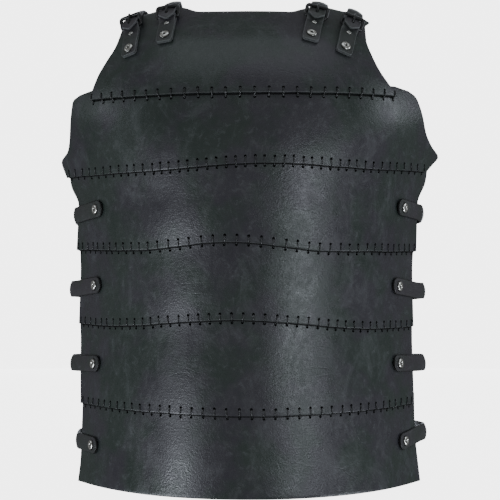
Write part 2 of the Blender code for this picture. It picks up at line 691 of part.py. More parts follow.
def make_shoulder(front, back, row, bands):
    """A tab riveted to the breastplate, its buckle, and the strap that comes over the shoulder."""
    name, bar_x, bar_z, lean, back_x = row
    bar_x, back_x = bar_x * WIDTH / 2, back_x * WIDTH / 2
    bar_z = bar_z * HEIGHT
    half = STRAP_WIDTH / 2
    lean = math.radians(lean)

    def on_front(distance):
        """Place on the breastplate at a distance down the tab from the fixed bar."""
        steps = 24
        x, z = bar_x, bar_z
        place, normal = front.skin(x, z)
        for _ in range(steps):
            step = distance / steps
            pitch = math.hypot(normal.x, normal.y)
            x -= math.sin(lean) * step
            z -= math.cos(lean) * step * pitch
            place, normal = front.skin(x, z)
        return x, z, *front.rest(x, z, half, Vector((0, 0, 1)))

    tab_path = []
    for share in (1.0, 0.96, 0.75, 0.5, 0.25, 0.0):
        _, _, place, normal = on_front(TAB_LENGTH * share)
        width = half - STRIP_CORNER if share == 1.0 else half
        tab_path.append((place, normal, width))
    tab = make_strip(f"{name}_tab", tab_path, TAB_LEATHER, STRAP_BLACK)

    foot, head = tab_path[-2][0], tab_path[-1][0]
    normal = tab_path[-1][1]
    along = (head - foot).normalized()
    across = along.cross(normal).normalized()
    out = across.cross(along).normalized()
    eye_radius = BUCKLE_WIRE + HOLE_CLEARANCE + EYE_WALL
    bar = head + out * eye_radius
    lying = along * math.cos(BUCKLE_RISE) + out * math.sin(BUCKLE_RISE)

    reach = half - HOLE_CLEARANCE
    eye = make_tube(
        f"{name}_eye", [bar - across * reach, bar, bar + across * reach],
        eye_radius, ROUND_SIDES, False, STRAP_BLACK,
    )
    boolean(tab, "UNION", eye)
    bar_reach = half + 2 * BUCKLE_PLAY
    bar_hole = make_tube(
        f"{name}_bar_hole", [bar - across * bar_reach, bar, bar + across * bar_reach],
        BUCKLE_WIRE + HOLE_CLEARANCE, ROUND_SIDES, False, STRAP_BLACK,
    )
    boolean(tab, "DIFFERENCE", bar_hole)

    frame = make_tube(
        f"{name}_buckle", buckle_path(bar, across, lying), BUCKLE_WIRE, WIRE_SIDES, True, BLACK_STEEL,
    )
    far = bar + lying * BUCKLE_LENGTH
    over_eye = eye_radius + SEAT
    under_far = BUCKLE_WIRE + STRAP_LEATHER + 2 * SEAT
    far_run = BUCKLE_LENGTH * math.cos(BUCKLE_RISE)
    crown = over_eye + STRAP_LEATHER + PRONG_RADIUS + SEAT
    prong_path = [bar]
    for run, height in PRONG_BEND:
        prong_path.append(bar + along * far_run * run + out * crown * height)
    prong_path.append(far + out * (BUCKLE_WIRE + PRONG_RADIUS / 2))
    prong_path.append(far + along * (BUCKLE_WIRE + PRONG_RADIUS) + out * BUCKLE_WIRE)
    prong = make_tube(f"{name}_prong", prong_path, PRONG_RADIUS, WIRE_SIDES, False, BLACK_STEEL)
    boolean(frame, "UNION", prong)
    slot = make_tube(
        f"{name}_prong_slot", prong_path, PRONG_RADIUS + HOLE_CLEARANCE, WIRE_SIDES, False, STRAP_BLACK,
    )
    boolean(tab, "DIFFERENCE", slot)

    for distance, head_radius, height, shank, kind in (
        (TAB_LENGTH - TAB_FOOT, HEAD_RADIUS, HEAD_HEIGHT, SHANK_RADIUS, "tab_rivet"),
        (
            TAB_LENGTH - TAB_FOOT - TAB_RIVET_PITCH, SMALL_HEAD_RADIUS, SMALL_HEAD_HEIGHT,
            SMALL_SHANK_RADIUS, "tab_upper_rivet",
        ),
    ):
        x, z, place, turned = on_front(distance)
        place = place + turned * TAB_LEATHER
        grip = front.grip(x, z, place, turned)
        make_rivet(f"{name}_{kind}", place, turned, grip, head_radius, height, shank)
        punch(f"{name}_{kind}", place, turned, grip, shank, tab, bands[front.name][0])

    # The strap's inner face, from its point over the fold and under the far bar to the plate's rim
    ends = []
    _, _, place, turned = on_front(TIP_OVERHANG)
    ends.append((place + turned * (TAB_LEATHER + 2 * SEAT), turned, half * POINT_WIDTH))
    ends.append((bar - along * BUCKLE_WIRE + out * over_eye, out, half))
    ends.append((bar + along * far_run * SINK_PLACE + out * over_eye * SINK_HEIGHT, out, half))
    ends.append((far - out * under_far, out, half))
    rim = -far_run
    x, z, place, turned = on_front(rim)
    while z < front.top(0, x):
        rim -= HOLE_CLEARANCE
        x, z, place, turned = on_front(rim)
    for share in (0.0, 0.5, 1.0):
        _, _, place, turned = on_front(rim * share - (far_run + TOUCHDOWN) * (1 - share))
        ends.append((place, turned, half))

    top_z = back.top(0, back_x)
    backs = []
    for run in (0.0, SHOULDER_LAP * 0.25, SHOULDER_LAP * 0.6, SHOULDER_LAP - STRIP_CORNER, SHOULDER_LAP):
        place, turned = back.rest(back_x, top_z - run * BACK_PITCH, half, Vector((0, 0, 1)))
        width = half - STRIP_CORNER if run == SHOULDER_LAP else half
        backs.append((place, turned, width))
    start, end = ends[-1][0], backs[0][0]
    leave = (start - ends[-2][0]).normalized()
    arrive = (end - backs[1][0]).normalized()
    middle = bezier(start, start + leave * FRONT_PULL, end + arrive * BACK_PULL, end, SHOULDER_SPANS)
    turns = turned_between(ends[-1][1], backs[0][1], SHOULDER_SPANS)
    path = ends + [(place, turned, half) for place, turned in zip(middle, turns)] + backs
    strap = make_strip(f"{name}_shoulder_strap", path, STRAP_LEATHER, STRAP_BLACK)
    boolean(strap, "DIFFERENCE", slot)

    rivet_z = top_z - (SHOULDER_LAP - SHOULDER_RIVET) * BACK_PITCH
    place, turned = back.rest(back_x, rivet_z, half, Vector((0, 0, 1)))
    place = place + turned * STRAP_LEATHER
    grip = back.grip(back_x, rivet_z, place, turned)
    make_rivet(f"{name}_shoulder_rivet", place, turned, grip, HEAD_RADIUS, HEAD_HEIGHT, SHANK_RADIUS)
    punch(f"{name}_shoulder_rivet", place, turned, grip, SHANK_RADIUS, strap, bands[back.name][0])


def centre_over_origin():
    """Moves everything so that the middle of its bounding box is over the origin."""
    made = list(bpy.context.scene.objects)
    places = [v.co for found in made if not found.hide_render for v in found.data.vertices]
    middle = [(min(p[k] for p in places) + max(p[k] for p in places)) / 2 for k in range(2)]
    for found in made:
        found.location = (-middle[0], -middle[1], 0.0)


def main():
    clear_scene()
    front = Plate(
        "front", -1, FRONT_DEPTH, FRONT_EDGE_ANGLE, FRONT_FORM,
        FRONT_SEAMS, FRONT_EDGES, FRONT_NECKLINE, FRONT_COLUMNS,
    )
    back = Plate(
        "back", 1, BACK_DEPTH, BACK_EDGE_ANGLE, BACK_FORM,
        BACK_SEAMS, BACK_EDGES, BACK_NECKLINE, BACK_COLUMNS,
    )
    bands = {
        plate.name: [make_band(plate, band) for band in range(plate.last + 1)]
        for plate in (front, back)
    }
    for row in SIDE_STRAPS:
        make_side_strap(front, back, row, bands)
    for row in SHOULDERS:
        make_shoulder(front, back, row, bands)
    centre_over_origin()


main()
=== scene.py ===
"""Leather cuirass: the finished looks of its laced bands, straps, buckles and rivets."""

import math

import bmesh
import bpy
import numpy as np
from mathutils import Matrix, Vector, noise


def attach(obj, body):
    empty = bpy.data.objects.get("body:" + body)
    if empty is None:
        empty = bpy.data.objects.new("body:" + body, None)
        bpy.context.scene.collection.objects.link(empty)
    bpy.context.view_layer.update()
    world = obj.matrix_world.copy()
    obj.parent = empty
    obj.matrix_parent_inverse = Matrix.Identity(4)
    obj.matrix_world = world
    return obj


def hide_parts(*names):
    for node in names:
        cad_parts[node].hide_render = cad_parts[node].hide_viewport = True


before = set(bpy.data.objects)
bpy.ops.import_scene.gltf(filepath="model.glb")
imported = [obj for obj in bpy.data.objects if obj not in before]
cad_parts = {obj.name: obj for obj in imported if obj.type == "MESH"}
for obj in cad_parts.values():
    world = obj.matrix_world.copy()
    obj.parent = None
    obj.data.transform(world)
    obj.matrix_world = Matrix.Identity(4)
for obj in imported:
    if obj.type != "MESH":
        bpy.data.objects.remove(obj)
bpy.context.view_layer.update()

# Breastplate and backplate. Each is six bands cut from firm 3 mm leather, bent round the body
# and shingled, so that every band laps over the one below it. The shape is that of the solids:
# a sheet pulled round by its side edges, with its sizes in metres and its tables in shares.
HEIGHT = 0.527          # hem to just over the middle of the neckline
WIDTH = 0.424           # across the chest at the armpits
SIDE_GAP = 0.034        # between the plates at the waist
ARMHOLE_REACH = 0.050   # how far a plate's edge stands clear of the arm
LEATHER = 0.003         # wall of a band
LAP = 0.012             # how far a band runs under the one above it
SEAT = 0.0004           # clearance between leathers that lie on each other
FRONT_DEPTH = 0.172     # crown of the breastplate's bend, from the middle of the plates
BACK_DEPTH = 0.112
FRONT_TURN = math.radians(64)  # how far a bend has turned at the plate's side
BACK_TURN = math.radians(52)
PLATES_MIDDLE = np.array((-0.0005, 0.0305, 0.0))  # the plates' own middle in the frame

# Height, half width of the bend, edge's reach from the arm, crown
FRONT_FORM = (
    (0.000, 0.915, 0.00, 0.980), (0.165, 0.892, 0.00, 0.958), (0.330, 0.886, 0.00, 0.942),
    (0.490, 0.900, 0.00, 0.965), (0.590, 0.925, 0.02, 0.992), (0.670, 0.950, 0.30, 1.000),
    (0.750, 0.945, 0.75, 0.985), (0.820, 0.890, 0.96, 0.935), (0.915, 0.765, 0.88, 0.785),
    (0.965, 0.722, 0.52, 0.625), (1.015, 0.678, 0.06, 0.395),
)
BACK_FORM = (
    (0.000, 0.915, 0.00, 0.920), (0.165, 0.892, 0.00, 0.840), (0.330, 0.886, 0.00, 0.810),
    (0.490, 0.900, 0.00, 0.870), (0.590, 0.925, 0.04, 0.940), (0.670, 0.950, 0.30, 0.985),
    (0.750, 0.945, 0.75, 1.000), (0.820, 0.890, 0.96, 0.985), (0.915, 0.765, 0.86, 0.880),
    (1.015, 0.680, 0.40, 0.580),
)
# Lower edges: height at the sides, rise in the middle, slope, the rise's half width and place
FRONT_SEAMS = (
    (0.8100, 0.000, 0.004, 0.60, 0.00), (0.6610, 0.010, 0.006, 0.60, 0.06),
    (0.4970, 0.018, -0.002, 0.50, -0.08), (0.3370, 0.021, -0.003, 0.75, -0.05),
    (0.1690, -0.003, 0.000, 0.60, 0.05),
)
BACK_SEAMS = (
    (0.8100, 0.000, 0.000, 0.60, 0.00), (0.6610, 0.006, 0.000, 0.60, 0.00),
    (0.4970, 0.012, 0.000, 0.60, 0.00), (0.3370, 0.012, 0.000, 0.75, 0.00),
    (0.1690, 0.000, 0.000, 0.60, 0.00),
)
# Side outlines from a band's top edge down: share of its height, edge at -X, edge at +X. The
# backplate's are the same on both sides.
FRONT_EDGES = (
    (
        (0.00, 0.655, 0.640), (0.12, 0.668, 0.612), (0.30, 0.690, 0.612),
        (0.50, 0.738, 0.640), (0.68, 0.778, 0.676), (0.85, 0.804, 0.725), (1.00, 0.826, 0.768),
    ),
    (
        (0.00, 0.800, 0.755), (0.045, 0.880, 0.832), (0.12, 0.922, 0.876), (0.30, 0.932, 0.908),
        (0.54, 0.940, 0.935), (0.68, 0.954, 0.972), (0.80, 0.998, 1.016), (0.89, 0.988, 0.986),
        (1.00, 0.968, 0.945),
    ),
    ((0.00, 0.960, 0.960), (0.22, 0.950, 0.948), (0.46, 0.906, 0.904), (1.00, 0.922, 0.898)),
    ((0.00, 0.906, 0.886), (0.35, 0.900, 0.877), (1.00, 0.914, 0.884)),
    ((0.00, 0.910, 0.877), (0.40, 0.902, 0.876), (1.00, 0.900, 0.884)),
    ((0.00, 0.890, 0.890), (0.40, 0.896, 0.892), (0.75, 0.902, 0.908), (1.00, 0.917, 0.922)),
)
BACK_EDGES = (
    (
        (0.00, 0.648), (0.12, 0.640), (0.30, 0.650), (0.50, 0.690), (0.68, 0.727), (0.85, 0.765),
        (1.00, 0.800),
    ),
    (
        (0.00, 0.780), (0.045, 0.856), (0.12, 0.899), (0.30, 0.920), (0.54, 0.936), (0.80, 0.950),
        (1.00, 0.945),
    ),
    ((0.00, 0.940), (0.46, 0.905), (1.00, 0.910)),
    ((0.00, 0.896), (1.00, 0.899)),
    ((0.00, 0.893), (1.00, 0.892)),
    ((0.00, 0.890), (0.60, 0.897), (1.00, 0.920)),
)
# Top edge from -X to +X: place across, height
FRONT_NECKLINE = (
    (-0.670, 0.973), (-0.560, 0.991), (-0.500, 0.996), (-0.400, 1.009), (-0.340, 1.005),
    (-0.250, 0.993), (0.000, 0.992), (0.210, 0.991), (0.285, 1.000), (0.360, 1.009),
    (0.470, 1.001), (0.560, 0.993), (0.640, 0.975),
)
BACK_NECKLINE = (
    (-0.680, 0.945), (-0.620, 0.957), (-0.500, 0.972), (-0.390, 0.985), (-0.320, 0.978),
    (-0.250, 0.970), (0.000, 0.966), (0.250, 0.970), (0.320, 0.978), (0.390, 0.985),
    (0.500, 0.972), (0.620, 0.957), (0.680, 0.945),
)

EDGE_ROUNDING = 0.0008  # the cut edges are rubbed round
HAND_CUT = 0.0004       # how far a hand-cut edge wanders
WANDER_LENGTH = 0.020   # and over what length
WANDER_SEED = 3.7
DENT_HEIGHT = 0.0007    # soft dents and swells that leather keeps from being worked
DENT_LENGTH = 0.055
DENT_SEED = 11.3
PAINTED_SHADE_LINE = 0.0015     # painted shade lies on the hide this far below a lapping edge
PROBE = 0.002           # step that a surface's slope is measured over
BEND_STEPS = 500        # a bend is worked out in steps, from the middle to past the plate's side
BEND_REACH = 1.5
CORNER_TURN = math.radians(50)  # edges over this angle are rubbed round
FRONT_GRID = (176, 0.003)  # columns of a band, and the step between its rows
BACK_GRID = (120, 0.004)


def along_table(rows, column, at):
    """A column of a table at places between its rows, on smooth curves that never overshoot."""
    rows = np.asarray(rows, float)
    places, values = rows[:, 0], rows[:, column]
    step = np.diff(places)
    slope = np.diff(values) / step
    product = slope[:-1] * slope[1:]
    total = np.where(product > 0, slope[:-1] + slope[1:], 1.0)
    inner = np.where(product > 0, 2 * product / total, 0.0)
    slopes = np.concatenate((slope[:1], inner, slope[-1:]))
    at = np.asarray(at, float)
    inside = np.clip(at, places[0], places[-1])
    k = np.clip(np.searchsorted(places, inside, side="right") - 1, 0, len(step) - 1)
    t = (inside - places[k]) / step[k]
    first, second = slopes[k] * step[k], slopes[k + 1] * step[k]
    rise = values[k + 1] - values[k]
    square, cube = 3 * rise - 2 * first - second, first + second - 2 * rise
    curve = values[k] + t * (first + t * (square + t * cube))
    return curve + slopes[-1] * np.maximum(at - places[-1], 0.0)


def unit(vectors):
    return vectors / np.linalg.norm(vectors, axis=-1, keepdims=True)


def wander(first, second, size, seed):
    """Smooth random values from -1 to 1 over a length, the same in each run."""
    places = zip(first, second)
    return np.array([noise.noise(Vector((a / size, b / size, seed))) for a, b in places])


class Plate:
    """Breastplate or backplate. facing is -1 for the front and 1 for the back."""

    def __init__(self, name, facing, depth, side_turn, form, seams, edges, neckline):
        self.name, self.facing, self.depth = name, facing, depth
        self.form, self.seams, self.edges, self.neckline = form, seams, edges, neckline
        self.last = len(seams)
        self.length = np.linspace(0, BEND_REACH, BEND_STEPS)
        turn = side_turn * np.sin(math.pi / 2 * np.minimum(self.length, 1))
        middle = (turn[1:] + turn[:-1]) / 2
        across = np.concatenate(([0], np.cumsum(np.cos(middle))))
        fall = np.concatenate(([0], np.cumsum(np.sin(middle))))
        self.across = across / np.interp(1, self.length, across)
        self.fall = fall / np.interp(1, self.length, fall)

    def bend_half_width(self, z):
        return WIDTH / 2 * along_table(self.form, 1, z / HEIGHT)

    def hollow_side(self, x, z):
        """Points on the inner face of the leather where no band laps another."""
        edge = SIDE_GAP / 2 + ARMHOLE_REACH * along_table(self.form, 2, z / HEIGHT)
        crown = self.depth * along_table(self.form, 3, z / HEIGHT)
        fall = np.interp(np.abs(x / self.bend_half_width(z)), self.across, self.fall)
        return np.stack((x, self.facing * (crown + (edge - crown) * fall), z), axis=-1)

    def normal(self, x, z):
        along = self.hollow_side(x + PROBE, z) - self.hollow_side(x - PROBE, z)
        up = self.hollow_side(x, z + PROBE) - self.hollow_side(x, z - PROBE)
        return unit(np.cross(along, up)) * -self.facing

    def seam(self, band, x):
        """Height of a band's lower edge."""
        if band >= self.last:
            return np.zeros_like(x)
        level, rise, slope, width, middle = self.seams[band]
        share = x / (WIDTH / 2)
        bump = (1 + np.cos(math.pi * np.minimum(1.0, np.abs(share - middle) / width))) / 2
        uneven = HAND_CUT * wander(x, x * 0, WANDER_LENGTH, WANDER_SEED * band + self.facing)
        return HEIGHT * (level + rise * bump + slope * share) + uneven

    def top(self, band, x):
        """Height of a band's upper edge, which lies under the band above."""
        if band == 0:
            return HEIGHT * along_table(self.neckline, 1, x / (WIDTH / 2))
        return self.seam(band - 1, x) + LAP

    def ends(self, band, x):
        """Heights of a band's upper and lower edge at one place."""
        return [float(height(band, np.array([x]))[0]) for height in (self.top, self.seam)]

    def lift(self, band, x, z):
        """How far a band stands off the hollow side, so that it laps over the one below."""
        if band == self.last:
            return np.zeros_like(x)
        start = self.top(0, x) - LAP if band == 0 else self.seam(band - 1, x)
        end = self.seam(band, x) + LAP
        share = np.clip((start - z) / (start - end), 0.0, 1.0)
        return (LEATHER + SEAT) * share * share * (3 - 2 * share)

    def face(self, band, x, z, above=LEATHER):
        """Points a distance above a band's hollow side. At LEATHER they are on its outer face."""
        x, z = np.atleast_1d(np.asarray(x, float)), np.atleast_1d(np.asarray(z, float))
        dents = DENT_HEIGHT * wander(x, z, DENT_LENGTH, DENT_SEED * self.facing)
        stand = self.lift(band, x, z) + dents + above
        return self.hollow_side(x, z) + self.normal(x, z) * stand[:, None] + PLATES_MIDDLE

    def band_at(self, x, z):
        for band in range(self.last):
            if z >= self.seam(band, np.array([x]))[0]:
                return band
        return self.last

    def edge(self, band, side, share):
        """X where the hollow side ends, so that the outer face ends where the table says."""
        column = 1 if side < 0 else -1
        x = side * WIDTH / 2 * along_table(self.edges[band], column, share)
        z = self.top(band, x) + (self.seam(band, x) - self.top(band, x)) * share
        return x - side * np.abs(self.normal(x, z)[:, 0]) * (self.lift(band, x, z) + LEATHER)

    def side_edges(self, band, share):
        return [self.edge(band, side, np.array([share]))[0] for side in (-1, 1)]

    def spread(self, left, right, z, count):
        """X of evenly spaced places along the leather from one side to the other."""
        half = self.bend_half_width(z)
        first, last = (
            np.sign(x) * np.interp(abs(x) / half, self.across, self.length) for x in (left, right)
        )
        lengths = np.linspace(first, last, count)
        return half * np.sign(lengths) * np.interp(np.abs(lengths), self.length, self.across)

    def place(self, x, z):
        """The outer face at one place, and its normal."""
        xs = np.array([x, x + PROBE, x - PROBE, x, x])
        zs = np.array([z, z, z, z + PROBE, z - PROBE])
        found = self.face(self.band_at(x, z), xs, zs)
        return found[0], unit(np.cross(found[1] - found[2], found[3] - found[4])) * -self.facing


front = Plate(
    "front", -1, FRONT_DEPTH, FRONT_TURN, FRONT_FORM, FRONT_SEAMS, FRONT_EDGES, FRONT_NECKLINE,
)
back = Plate("back", 1, BACK_DEPTH, BACK_TURN, BACK_FORM, BACK_SEAMS, BACK_EDGES, BACK_NECKLINE)


def srgb(code):
    """A hex colour as the linear values that a shader takes."""
    parts = [int(code[k:k + 2], 16) / 255 for k in (1, 3, 5)]
    return (*[p / 12.92 if p <= 0.04045 else ((p + 0.055) / 1.055) ** 2.4 for p in parts], 1.0)


def set_inputs(tree, node, values):
    """Sets a node's inputs. A value that is a node or a socket is linked."""
    for name, value in values.items():
        if isinstance(value, bpy.types.Node):
            value = next(socket for socket in value.outputs if socket.enabled)
        if isinstance(value, bpy.types.NodeSocket):
            tree.links.new(value, node.inputs[name])
        else:
            node.inputs[name].default_value = value


def add_node(tree, kind, inputs=None, **settings):
    """A node with its settings and inputs."""
    made = tree.nodes.new(kind)
    for name, value in settings.items():
        setattr(made, name, value)
    set_inputs(tree, made, inputs or {})
    return made


def new_material(name, shader_values):
    """A material with one shader, whose even values stand on its own sockets."""
    made = bpy.data.materials.new(name)
    made.use_nodes = True
    shader = made.node_tree.nodes["Principled BSDF"]
    set_inputs(made.node_tree, shader, shader_values)
    return made, made.node_tree, shader


# Hair pores and grain are drawn two to three times as coarse as they are, so that they show.
PORE_SIZE = 0.0019
PORE_SHOW = 0.45
GRAIN_SHOW = 0.40
GRAIN_DEPTH = 0.0005
CREASE_SIZE = 0.024     # fine creases from handling, some 60 mm long
CREASE_STRETCH = (0.3, 1.0, 1.3)
CREASE_LEAN = math.radians(14)
CREASE_BEND = 0.008     # how unevenly a crease runs
CREASE_WIDTH = 0.045    # as a share of the distance between two
CREASE_SHOW = 0.35
TINT_SHOW = 0.60
SPECK_GLOSS = 0.8       # how much specks count in the gloss, beside the rubbed patches
GLOSS_RANGE = (0.70, 1.10)
GLOSS_SPREAD = 0.10
# Uneven patterns: size, detail, roughness, distortion, shift, stretch in height
HIDE_PATTERNS = {
    "clouds": (0.090, 4.0, 0.60, 0.4, 0.0, 1.0),   # of dye
    "tints": (0.055, 3.0, 0.60, 0.0, 4.0, 1.0),    # where the dye turns green- or purple-grey
    "creased": (0.055, 3.0, 0.60, 0.0, 7.0, 1.0),  # where the hide was folded
    "rubbed": (0.030, 7.0, 0.78, 1.0, 9.0, 0.6),   # where the wax is thin
    "bends": (0.030, 3.0, 0.50, 0.0, 0.0, 1.0),    # of the creases
    "specks": (0.0075, 6.0, 0.70, 0.6, 0.0, 1.0),
    "grain": (0.0032, 3.0, 0.70, 0.0, 0.0, 1.0),
}
# How each of them counts: from which value, to which value, and how much at most
HIDE_SHARES = {
    "clouds": (0.34, 0.68, 1.0), "tints": (0.42, 0.58, 1.0), "creased": (0.50, 0.62, 1.0),
    "rubbed": (0.52, 0.74, 0.30), "specks": (0.56, 0.70, 0.30),
}


def leather_material(name, dark, light, tints, scuff, roughness, specular):
    """Vegetable-tanned hide, dyed through and waxed: grain, faint creases, wax rubbed unevenly."""
    made, tree, shader = new_material(name, {"Specular IOR Level": specular})
    place = add_node(tree, "ShaderNodeTexCoord").outputs["Object"]
    pattern, share = {}, {}
    for label, (size, detail, rough, distortion, shift, stretch) in HIDE_PATTERNS.items():
        moved = add_node(tree, "ShaderNodeMapping", {
            "Vector": place, "Location": (shift, shift, shift), "Scale": (1, 1, stretch),
        })
        pattern[label] = add_node(tree, "ShaderNodeTexNoise", {
            "Vector": moved, "Scale": 1 / size, "Detail": detail, "Roughness": rough,
            "Distortion": distortion,
        })
    for label, (low, high, most) in HIDE_SHARES.items():
        share[label] = add_node(tree, "ShaderNodeMapRange", {
            "Value": pattern[label], "From Min": low, "From Max": high, "To Max": most,
        })
    tint = add_node(tree, "ShaderNodeMix", {
        0: share["tints"], 6: srgb(tints[0]), 7: srgb(tints[1]),
    }, data_type="RGBA")
    tone = srgb(dark)
    for amount, over in (
        (share["clouds"], srgb(light)), (TINT_SHOW, tint), (share["rubbed"], srgb(scuff)),
        (share["specks"], srgb(scuff)),
    ):
        tone = add_node(tree, "ShaderNodeMix", {0: amount, 6: tone, 7: over}, data_type="RGBA")
    waxed = add_node(tree, "ShaderNodeMath", {
        0: pattern["specks"], 1: SPECK_GLOSS, 2: pattern["rubbed"],
    }, operation="MULTIPLY_ADD")
    dull = add_node(tree, "ShaderNodeMapRange", {
        "Value": waxed, "From Min": GLOSS_RANGE[0], "From Max": GLOSS_RANGE[1],
        "To Min": roughness - GLOSS_SPREAD, "To Max": roughness + GLOSS_SPREAD,
    })
    pores = add_node(tree, "ShaderNodeTexVoronoi", {
        "Vector": place, "Scale": 1 / PORE_SIZE, "Randomness": 1.0,
    }, feature="F1")
    fine = add_node(tree, "ShaderNodeMath", {
        0: pores, 1: PORE_SHOW, 2: pattern["grain"],
    }, operation="MULTIPLY_ADD")
    bent = add_node(tree, "ShaderNodeMix", {
        0: CREASE_BEND, 4: place, 5: pattern["bends"].outputs["Color"],
    }, data_type="VECTOR")
    leaning = add_node(tree, "ShaderNodeMapping", {
        "Vector": bent, "Rotation": (0.0, CREASE_LEAN, 0.0), "Scale": CREASE_STRETCH,
    })
    cells = add_node(tree, "ShaderNodeTexVoronoi", {
        "Vector": leaning, "Scale": 1 / CREASE_SIZE, "Randomness": 1.0,
    }, feature="DISTANCE_TO_EDGE")
    lines = add_node(tree, "ShaderNodeMapRange", {
        "Value": cells, "From Max": CREASE_WIDTH, "To Min": -CREASE_SHOW, "To Max": 0.0,
    })
    crease = add_node(tree, "ShaderNodeMath", {0: lines, 1: share["creased"]}, operation="MULTIPLY")
    relief = add_node(tree, "ShaderNodeMath", {0: fine, 1: crease}, operation="ADD")
    bump = add_node(tree, "ShaderNodeBump", {
        "Height": relief, "Strength": GRAIN_SHOW, "Distance": GRAIN_DEPTH,
    })
    set_inputs(tree, shader, {"Base Color": tone, "Roughness": dull, "Normal": bump})
    return made


# Firm cowhide, dyed through and waxed: a soft gloss that rubbed patches break up.
WAXED_HIDE = leather_material(
    "waxed_black_hide", "#191a1a", "#242625", ("#182420", "#222129"), "#3b4144", 0.37, 0.5,
)
# The rounded corners of a cut edge are a lighter dull grey: a painted highlight for the thin line
# of light they catch.
HIGHLIT_CUT_EDGE = leather_material(
    "burnished_cut_edge", "#202323", "#323637", ("#272c2a", "#2c2c30"), "#464a4c", 0.58, 0.35,
)
# Painted shade: near black on flat cut faces, in the stitch holes and in a strip just under a
# lapping edge, where shade falls.
SHADE_PAINTED_HIDE = leather_material(
    "grimed_black_hide", "#060606", "#0b0b0b", ("#080908", "#08080a"), "#141515", 0.6, 0.2,
)


def add_piece(name, mesh, materials):
    for made in materials:
        mesh.materials.append(made)
    piece = bpy.data.objects.new(name, mesh)
    bpy.context.scene.collection.objects.link(piece)
    return piece


def new_piece(name, points, faces, materials=()):
    mesh = bpy.data.meshes.new(name)
    mesh.from_pydata([tuple(p) for p in points], [], faces)
    return add_piece(name, mesh, materials)


def band_piece(plate, band, columns, row_step):
    """One band as a closed sheet: outer face, hollow side and the cut edge all round."""
    high, low = plate.ends(band, 0.0)
    height = high - low
    under = [0.0, LAP / 3, LAP * 2 / 3, LAP * 0.9, LAP, LAP + PAINTED_SHADE_LINE]
    if band:
        downs = [*under, *np.arange(under[-1] + row_step / 2, height, row_step)]
        shares = [*(down / height for down in downs if down < height - row_step / 3), 1.0]
    else:
        shares = np.linspace(0, 1, int(height / row_step) + 1)
    outside, inside = [], []
    for share in shares:
        middle = high * (1 - share) + low * share
        x = plate.spread(*plate.side_edges(band, share), middle, columns + 1)
        top, bottom = plate.top(band, x), plate.seam(band, x)
        z = top * (1 - share) + bottom * share
        if band and share * height <= under[-1] * 1.001:
            z = top - share * height
        outside.append(plate.face(band, x, z))
        inside.append(plate.face(band, x, z, 0.0))
    outside, inside = np.concatenate(outside), np.concatenate(inside)
    if band == plate.last:
        for side in (outside, inside):
            side[-columns - 1:, 2] = 0.0
    rows, across, count = len(shares) - 1, columns + 1, len(outside)
    faces = []
    for row in range(rows):
        for column in range(columns):
            a = row * across + column
            b, c, d = a + across, a + across + 1, a + 1
            faces += [(a, b, c, d), (a + count, d + count, c + count, b + count)]
    if plate.facing > 0:
        faces = [face[::-1] for face in faces]
    rim = [*range(across), *(r * across + columns for r in range(1, rows + 1))]
    rim += [rows * across + c for c in range(columns - 1, -1, -1)]
    rim += [r * across for r in range(rows - 1, 0, -1)]
    for a, b in zip(rim, rim[1:] + rim[:1]):
        c, d = b + count, a + count
        faces.append((a, b, c, d) if plate.facing < 0 else (a, d, c, b))
    piece = new_piece(
        f"{plate.name}_plate_{band + 1}", np.concatenate((outside, inside)), faces,
        (WAXED_HIDE, HIGHLIT_CUT_EDGE, SHADE_PAINTED_HIDE),
    )
    # Painted shade: the flat cut faces all round, and a strip just under the lapping edge of the
    # band above, get the near-black hide.
    shade_start = 2 * columns * under.index(LAP)
    left, right = plate.side_edges(band - 1, 1.0) if band else (0, 0)
    for face in piece.data.polygons:
        below_lap = shade_start <= face.index < shade_start + 2 * columns and face.index % 2 == 0
        on_rim = face.index >= 2 * columns * rows
        if on_rim or (below_lap and left < face.center.x < right):
            face.material_index = 2
    # The rounded corners take the lighter grey of the cut edge, a painted highlight.
    rounding = piece.modifiers.new("rubbed edges", "BEVEL")
    rounding.width, rounding.segments, rounding.material = EDGE_ROUNDING, 2, 1
    rounding.limit_method, rounding.angle_limit = "ANGLE", CORNER_TURN
    return piece


bands = {}
for plate, grid in ((front, FRONT_GRID), (back, BACK_GRID)):
    for band in range(plate.last + 1):
        bands[plate.name, band] = band_piece(plate, band, *grid)

# Lacing. Each lap is sewn with one waxed cord in an overcast stitch: out of a hole in the upper
# band, over its edge, into a hole in the band below and on to the next stitch inside. The holes
# are pricked with an awl: wide at the face, where the cord lies in them, and narrow inside.
CORD_SIDES = 7
CORD_STEPS = 3          # steps in the cord's way between two turns
HOLE_SIDES = 10
HOLE_DIAMETER = 0.0031
HOLE_INSIDE = 0.0014    # its diameter on the hollow side
AWL_PAST = (0.001, 0.002)  # how far the awl goes on past the hollow side and the face
PULLED = 0.0008         # the cord is pulled to the side of its hole
END_MARGIN = 0.0033     # a band's side edge to its first stitch
STITCH_DRIFT = (0.0016, 0.0008)  # how far holes pricked by hand stray along the seam and across
DRIFT_STITCHES = (1.7, 1.9)      # and over how many stitches
DRIFT_SEED = 5.1
# Stitches along each seam, how far the holes lie above the edge and below it, how much they are
# spaced by eye from the front, where 0 is evenly along the leather, and the cord's diameter
FRONT_STITCHES = (
    (25, 0.0052, 0.0036, 0.6, 0.0017), (43, 0.0072, 0.0030, 0.8, 0.0012),
    (40, 0.0076, 0.0030, 0.1, 0.0012), (41, 0.0070, 0.0030, 0.3, 0.0012),
    (38, 0.0070, 0.0030, 0.2, 0.0013),
)
BACK_STITCHES = (
    (25, 0.0056, 0.0034, 0.4, 0.0017), (40, 0.0072, 0.0030, 0.4, 0.0012),
    (37, 0.0064, 0.0032, 0.2, 0.0012), (38, 0.0072, 0.0030, 0.2, 0.0012),
    (38, 0.0072, 0.0030, 0.2, 0.0013),
)
STRAND_SIZE = 0.0009    # the cord's strands
STRAND_DEPTH = 0.0002
ROUND_TURN = math.radians(38)  # faces that meet under this angle are shaded as one


